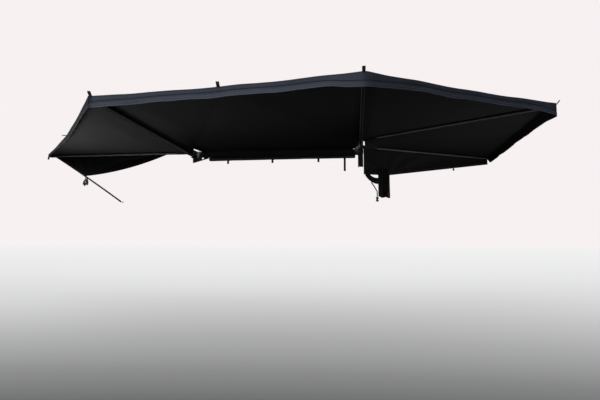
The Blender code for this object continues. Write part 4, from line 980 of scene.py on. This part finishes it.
def gathered_cloth(name, line, widths, depth, folds, node, ragged):
    """Gathered cloth along a line beside arm 5, with crisp folds in front and an uneven end."""
    back = FLAP_OFFSET - GAP
    steps = folds * 18
    rings = []
    facts = {}
    whole = travelled(line)[-1]
    for level, (middle, stride, gone) in enumerate(zip(line, strides(line), travelled(line))):
        share = level / (len(line) - 1)
        run = stride.normalized()
        across = Vector((-run.y, run.x)) * (widths[0] + (widths[1] - widths[0]) * share)
        rows = ([], [])
        for i in range(steps + 1):
            part = i / steps
            lean = 0.9 * share + 0.35 * sin(3.1 * share + 9.0 * part)
            wave = 0.5 + 0.5 * cos(2 * pi * folds * part + lean)
            edge = sqrt(max(0.0, 1 - (2 * part - 1) ** 4))
            spot = middle + across * (part - 0.5)
            spot = spot - run * (ragged * share ** 6 * (0.5 + 0.5 * sin(part * 11.0 + 1.0)))
            out = depth * (0.75 + 0.25 * share) * (0.22 + 0.78 * wave ** 1.6) * edge + CLOTH_EDGE * 0.8
            out -= ripple(part * 9.0, share * 7.0, 1.0) * depth * 0.09 * edge
            rows[0].append((spot.x, back - out, spot.y))
            rows[1].append((spot.x, back, spot.y))
        ring = rows[0] + rows[1][::-1]
        rings.append(on_arm("arm_5", ring))
        for x, _, z in ring:
            note(facts, cloth_u=x, cloth_v=z, hem_m=whole - gone + HEM_ZERO, arm_m=CLEAR_OF_ARM)
    cloth = add_piece(name, lofted(name, rings, facts), "arm_5", (tail_canvas,), replaces=[node])


def make_tail():
    """The rear flap's spare cloth, tied in a bundle that hangs from it."""
    middle = TAIL_START + TAIL_WIDTH / 2
    drop = TAIL_BOTTOM - TAIL_TOP
    line = [Vector((middle, TAIL_TOP + drop * i / BUNDLE_LEVELS)) for i in range(BUNDLE_LEVELS + 1)]
    gathered_cloth("gathered_flap_end", line, (TAIL_WIDTH, TAIL_WIDTH), TAIL_DEPTH, TAIL_FOLDS,
                   "rear_flap_tail", 0.014)


def make_swag():
    """Cloth drawn from the flap's corner by the hub across to the bundle."""
    end = Vector((TAIL_START - GAP, SWAG_END_HEIGHT))
    near = end - Vector((SWAG_END_RUN, 0.0))
    line = quadratic(SWAG_START, end - Vector((SWAG_SETBACK, 0.0)), near, SWAG_LEVELS) + [end]
    gathered_cloth("drawn_flap_cloth", line, SWAG_WIDTHS, SWAG_DEPTH, SWAG_FOLDS, "rear_flap_swag", 0.0)


# Webbing

def loop_tab(node, arm, hem, outward, lift_angle, squash=None, length=TAB_LENGTH):
    """A doubled loop of webbing sewn behind the hem at a point, open at its outer end."""
    side = Vector((-outward.y, outward.x, 0.0))
    rise = radians(lift_angle)
    tilt = TAB_THICKNESS / 2 * abs(sin(rise))
    foot = hem + outward * (FABRIC + GAP + tilt) - UP * TAB_DROP
    run = outward * cos(rise) + UP * sin(rise)
    normal = side.cross(run)
    half = TAB_THICKNESS * 0.30
    leg = [(length * LOOP_SHARE * i / 6, half * (0.85 + 0.55 * sin(pi * i / 8))) for i in range(7)]
    angles = [pi * i / 8 for i in range(1, 8)]
    turn = [(length * (LOOP_SHARE + 0.17 * sin(angle)), half * 1.3 * cos(angle)) for angle in angles]
    path = [foot + run * way - normal * off for way, off in there_and_back(leg, turn)]
    mesh = strap_mesh(node + "_loop", path, side, TAB_WIDTH, LOOP_THICKNESS)
    tab = add_webbing(node + "_loop", mesh, arm, node)
    if squash:
        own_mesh(tab)


def make_tabs():
    for arm, node, angle, length in (
            ("arm_1", "front_corner_tab", CORNER_TAB_DROP, FRONT_TAB_LENGTH),
            ("arm_2", "outer_front_tab", TAB_LIFT, TAB_LENGTH),
            ("arm_3", "outer_rear_tab", TAB_LIFT, TAB_LENGTH),
            ("arm_4", "rear_side_tab", TAB_LIFT, TAB_LENGTH),
            ("arm_5", "rear_corner_tab", CORNER_TAB_DROP, REAR_TAB_LENGTH)):
        loop_tab(node, arm, arm_point(arm, ARM_REACH), arm_way(arm, 1, 0), angle, length=length)
    for arm, neighbour, node, angle, clear in (
            ("arm_1", "arm_2", "side_hem_tab", SIDE_TAB_DROP, TAB_FOLD_CLEAR),
            ("arm_2", "arm_3", "long_hem_tab", TAB_LIFT, LONG_TAB_CLEAR)):
        fold = panel_point(arm, neighbour, 1.0, 1.0)
        before = panel_point(arm, neighbour, 1.0, 1.0 - 1.0 / CAD_SIDE_COLUMNS)
        hem = flat_unit(fold, before)
        outward = Vector((hem.y, -hem.x, 0.0))
        if outward.dot(hem_normal(arm, neighbour)) < 0:
            outward = -outward
        spot = fold.lerp(before, (TAB_WIDTH / 2 + clear) / (before - fold).length)
        loop_tab(node, arm, spot, outward, angle, gore_squash(arm))


def make_flap_tab():
    """The loop sewn to the rear flap's hem."""
    slope = (REAR_FLAP_TIP[1] - REAR_FLAP_CORNER[1]) / (REAR_FLAP_TIP[0] - REAR_FLAP_CORNER[0])
    top = REAR_FLAP_CORNER[1] + slope * (FLAP_TAB_REACH - TAB_WIDTH / 2 - REAR_FLAP_CORNER[0]) - GAP
    middle = FLAP_OFFSET + FABRIC / 2
    leg = [(top - FLAP_LOOP_LENGTH * i / 5, FLAP_LOOP_HALF) for i in range(6)]
    loop = there_and_back(leg, [(top - FLAP_LOOP_LENGTH - FLAP_LOOP_TURN, 0.0)])
    path = on_arm("arm_5", [(FLAP_TAB_REACH, middle - off, height) for height, off in loop])
    mesh = strap_mesh("rear_flap_loop", path, arm_way("arm_5", 1, 0), TAB_WIDTH, LOOP_THICKNESS)
    add_webbing("rear_flap_loop", mesh, "arm_5", "rear_flap_tab")


def make_tie_strap():
    """Webbing that hangs from the drawn cloth down beside the bundle to its buckle."""
    route = broken_line([Vector(p) for p in TIE_ROUTE], 6)
    middle = FLAP_OFFSET - GAP - CLOTH_EDGE / 2
    mesh, _ = flat_strap("flap_tie_strap", "arm_5", route, middle, TIE_WIDTH, STRAP_THICKNESS)
    add_webbing("flap_tie_strap", mesh, "arm_5", "rear_tie_strap")


# Travel cover

def roll_radius(x):
    share = (x - ROLL_FRONT) / (ROLL_REAR - ROLL_FRONT)
    return ROLL_RADIUS + ROLL_SWELL * (1 - share) ** 2


def make_cover():
    """A rolled cover with its loose edge along the roll, pinched where the straps hold it."""
    rings = []
    for i in range(COVER_STATIONS + 1):
        x = ROLL_FRONT + (ROLL_REAR - ROLL_FRONT) * i / COVER_STATIONS
        radius = roll_radius(x)
        height = BEAM_BOTTOM - GAP - radius
        nearest = min(abs(x - strap) for strap, _ in COVER_STRAPS.values())
        pinch = COVER_PINCH * exp(-(nearest / 0.016) ** 2)
        end = min(x - ROLL_FRONT, ROLL_REAR - x)
        tuck = COVER_TUCK * (1 - smooth_step(end / 0.02))
        ring = []
        for s in range(COVER_STEPS):
            angle = tau * s / COVER_STEPS
            lip = ((angle + 0.7) % tau) / tau
            fold = ripple(x * 9.0, cos(angle) * 1.3, sin(angle) * 1.3)
            crease = sin(angle * 5.0 + x * 14.0) * 0.0007
            grow = radius - COVER_LIP + COVER_LIP * lip + fold * COVER_LIP / 2 + crease - tuck
            if nearest < 0.013:
                grow = radius - 0.0002 - pinch * 0.1
            grow = min(grow, radius)
            ring.append((x, -ROLL_DEPTH + grow * cos(angle), height + grow * sin(angle)))
        rings.append(ring)
    mesh = lofted("rolled_travel_cover", rings)
    add_piece("rolled_travel_cover", mesh, "frame", (vinyl,), replaces=["cover_roll"])


def make_cover_straps():
    for name, (x, tail) in COVER_STRAPS.items():
        largest = max(roll_radius(x - STRAP_WIDTH / 2), roll_radius(x + STRAP_WIDTH / 2))
        height = BEAM_BOTTOM - GAP - largest
        radius = largest + GAP + STRAP_THICKNESS / 2
        path = []
        for i in range(25):
            angle = radians(40.0 - 175.0 * i / 24)
            path.append(Vector((x, radius * cos(angle) - ROLL_DEPTH, height + radius * sin(angle))))
        foot = path[-1]
        for i in range(1, 12):
            drop = tail * i / 11
            path.append(foot + Vector((0.0, -0.0002 - 0.00088 * sin(drop * 40.0), -drop)))
        mesh = strap_mesh(name + "_band", path, Vector((1.0, 0.0, 0.0)), STRAP_WIDTH, STRAP_THICKNESS)
        add_webbing(name + "_band", mesh, "frame", name)


# Fasteners

def turned_head(shape, base, profile, sides):
    """A closed head through circles, or hexagons, of given radius and height."""
    loops = []
    for radius, height in profile:
        ring = [Vector((radius * cos(tau * i / sides), radius * sin(tau * i / sides), height))
                for i in range(sides)]
        loops.append([shape.verts.new(base @ spot) for spot in ring])
    for low, high in zip(loops, loops[1:]):
        for i in range(sides):
            shape.faces.new((low[i - 1], low[i], high[i], high[i - 1]))
    shape.faces.new(loops[0][::-1])
    shape.faces.new(loops[-1])


def seat(place_at, axis):
    return Matrix.Translation(place_at) @ axis.to_track_quat("Z", "Y").to_matrix().to_4x4()


def hex_bolt(shape, base, across_flats, head, washer):
    """A hexagon head with a chamfered crown over a washer."""
    radius = across_flats / sqrt(3)
    low = WASHER_THICKNESS
    turned_head(shape, base, [(washer, 0.0), (washer, low * 0.8), (washer * 0.94, low)], 24)
    turned_head(shape, base, [(radius, low), (radius, low + head * 0.8), (radius * 0.86, low + head)], 6)


def dome_bolt(shape, base, radius, height):
    """A button head with a round socket."""
    profile = ((1.0, 0.0), (1.0, 0.25), (0.93, 0.6), (0.72, 0.9), (0.5, 1.0), (0.42, 1.0), (0.42, 0.45))
    turned_head(shape, base, [(radius * out, height * up) for out, up in profile], 18)


def finish_bolts(name, shape, body):
    bmesh.ops.recalc_face_normals(shape, faces=shape.faces)
    mesh = bpy.data.meshes.new(name)
    shape.to_mesh(mesh)
    shape.free()
    add_piece(name, mesh, body, (bolt_finish,), smooth=False)
    mesh.set_sharp_from_angle(angle=radians(30))


def make_bolts():
    shape = bmesh.new()
    front = -BEAM_DEPTH - GAP - PLATE_THICKNESS - BOLT_CLEAR
    for hub, axis in HUBS.items():
        inward = 1 if hub == "front" else -1
        for column in HUB_BOLT_COLUMNS:
            for row in HUB_BOLT_ROWS:
                spot = Vector((axis.x + inward * column, front, BEAM_BOTTOM + row))
                hex_bolt(shape, seat(spot, Vector((0, -1, 0))), **HUB_BOLT)
    for x in RACK_BRACKETS:
        for step in (-0.5, 0.5):
            spot = Vector((x + step * RACK_BOLT_SPACING, GAP + RACK_PLATE, SLOT_HEIGHT))
            hex_bolt(shape, seat(spot, Vector((0, 1, 0))), **RACK_BOLT)
    finish_bolts("frame_bolts", shape, "frame")
    for arm in ARMS:
        shape = bmesh.new()
        middle = arm_level(arm) + TUBE_HEIGHT / 2
        for reach in ARM_BOLTS:
            for side in (1, -1):
                spot = arm_matrix(arm) @ Vector((reach, side * (CHEEK_OUTER + BOLT_CLEAR), middle))
                base = seat(spot, arm_way(arm, 0, side))
                if side == 1:
                    dome_bolt(shape, base, **CHEEK_BUTTON)
                else:
                    hex_bolt(shape, base, **CHEEK_NUT)
        finish_bolts(arm + "_bolts", shape, arm)


# Looks of the CAD pieces that stay

def dress_frame():
    finishes = {"backing_beam": beam_finish, "bracket": bracket_paint, "_knuckle": bracket_paint,
                "_tube": arm_paint, "_pin": bolt_finish, "_nut": bolt_finish, "guy_hook": bolt_finish,
                "_washer": washer_nylon}
    for name, node in nodes.items():
        finish = next((choice for part, choice in finishes.items() if part in name), nylon)
        for slot in node.material_slots:
            slot.material = finish


# Light and floor

def add_area(name, place_at, target, size, power, colour, spread=180.0):
    place_at = Vector(place_at)
    lamp = bpy.data.lights.new(name, "AREA")
    lamp.shape = "RECTANGLE"
    lamp.size, lamp.size_y = size
    lamp.energy = power
    lamp.color = colour
    lamp.spread = radians(spread)
    obj = bpy.data.objects.new(name, lamp)
    link(obj)
    aim = (Vector(target) - place_at).to_track_quat("-Z", "Y").to_matrix().to_4x4()
    obj.matrix_world = Matrix.Translation(place_at) @ aim
    obj.visible_camera = False


FLOOR_HEIGHT = -1.85
FLOOR_HALF = 40.0
FLOOR_GLOW = ((0.0, 0.87), (0.2, 0.75), (0.4, 0.553), (0.6, 0.321), (0.8, 0.129), (1.0, 0.0))
FLOOR_DARKEST = (0.297, -4.68, 0.0)


def make_floor():
    """A pale floor whose look is painted light: a glow seen by the camera alone that matches the backdrop
    far off and fades out round one spot, leaving painted shade there.
    """
    mesh = bpy.data.meshes.new("studio_floor")
    far = FLOOR_HALF
    corners = [(x, y, FLOOR_HEIGHT) for x, y in ((-far, -far), (far, -far), (far, far), (-far, far))]
    mesh.from_pydata(corners, [], [(0, 1, 2, 3)])
    floor = bpy.data.objects.new("studio_floor", mesh)
    link(floor)
    paint = Finish("pale_floor", (0.107, 0.107, 0.107), 0.9, Specular_IOR_Level=0.0, Emission_Strength=1.0)
    paint.feed("Roughness", paint.noise(2.0) * 0.1 + 0.85)
    reach = paint.node("VectorMath", {"operation": "MULTIPLY"}, {0: paint.place(), 1: (0.4, 1.0, 0.0)})
    reach = paint.node("VectorMath", {"operation": "DISTANCE"}, {0: reach, 1: FLOOR_DARKEST}, "Value")
    nearness = (1.92 / (reach + 0.001)).clamped()
    glow = paint.node("ValToRGB", {"stops": FLOOR_GLOW}, {"Fac": nearness})
    seen = paint.node("LightPath", {}, {}, "Is Camera Ray")
    paint.feed("Emission Color", paint.blend(seen, (0.0, 0.0, 0.0), glow))
    mesh.materials.append(paint.material)


WORLD_LIGHT = 0.40
LEFT_SHARE = 1.8
RIGHT_SHARE = 0.2
BACKDROP = (0.930, 0.880, 0.880)


def make_world():
    """Even light that is a little stronger from the left, before a pale backdrop."""
    world = bpy.data.worlds.new("studio")
    bpy.context.scene.world = world
    world.use_nodes = True
    world.node_tree.nodes.clear()
    sky = ShaderNodes(world.node_tree)
    tint = (0.92, 0.95, 1.0)
    left, right = (sky.node("Background", {}, {"Color": tint, "Strength": WORLD_LIGHT * share})
                   for share in (LEFT_SHARE, RIGHT_SHARE))
    direction = sky.axis("X", sky.node("TexCoord", {}, {}, "Generated"))
    light = sky.node("MixShader", {}, {0: (direction * 0.5 + 0.5).clamped(), 1: left, 2: right})
    backdrop = sky.node("Background", {}, {"Color": BACKDROP, "Strength": 1.0})
    seen = sky.node("LightPath", {}, {}, "Is Camera Ray")
    through = sky.node("LightPath", {}, {}, "Is Transmission Ray")
    shown = sky.node("MixShader", {}, {0: (seen + through).clamped(), 1: light, 2: backdrop})
    sky.node("OutputWorld", {}, {"Surface": shown})


make_canopy()
make_centre_panel()
make_flaps()
make_tail()
make_swag()
make_tabs()
make_flap_tab()
make_tie_strap()
make_cover()
make_cover_straps()
make_bolts()
dress_frame()
make_floor()
make_world()
add_area("sky_panel", (-1.0, -3.5, 5.0), (0.0, -0.8, 0.0), (7.0, 5.0), 420.0, (0.96, 0.98, 1.0))
add_area("front_panel", (-3.0, -8.0, 2.2), (-0.5, -1.0, 0.0), (4.0, 3.0), 450.0, (1.0, 0.99, 0.97))
add_area("low_left_panel", (-3.3, -1.0, -1.2), (-1.9, -1.1, 0.0), (1.0, 1.0), 13.0, (1.0, 1.0, 1.0), 80.0)
add_area("low_right_panel", (3.7, -1.6, -1.4), (1.9, -0.5, 0.0), (1.0, 1.0), 4.5, (1.0, 1.0, 1.0), 80.0)

bpy.context.scene.view_settings.view_transform = "Standard"
bpy.context.view_layer.update()
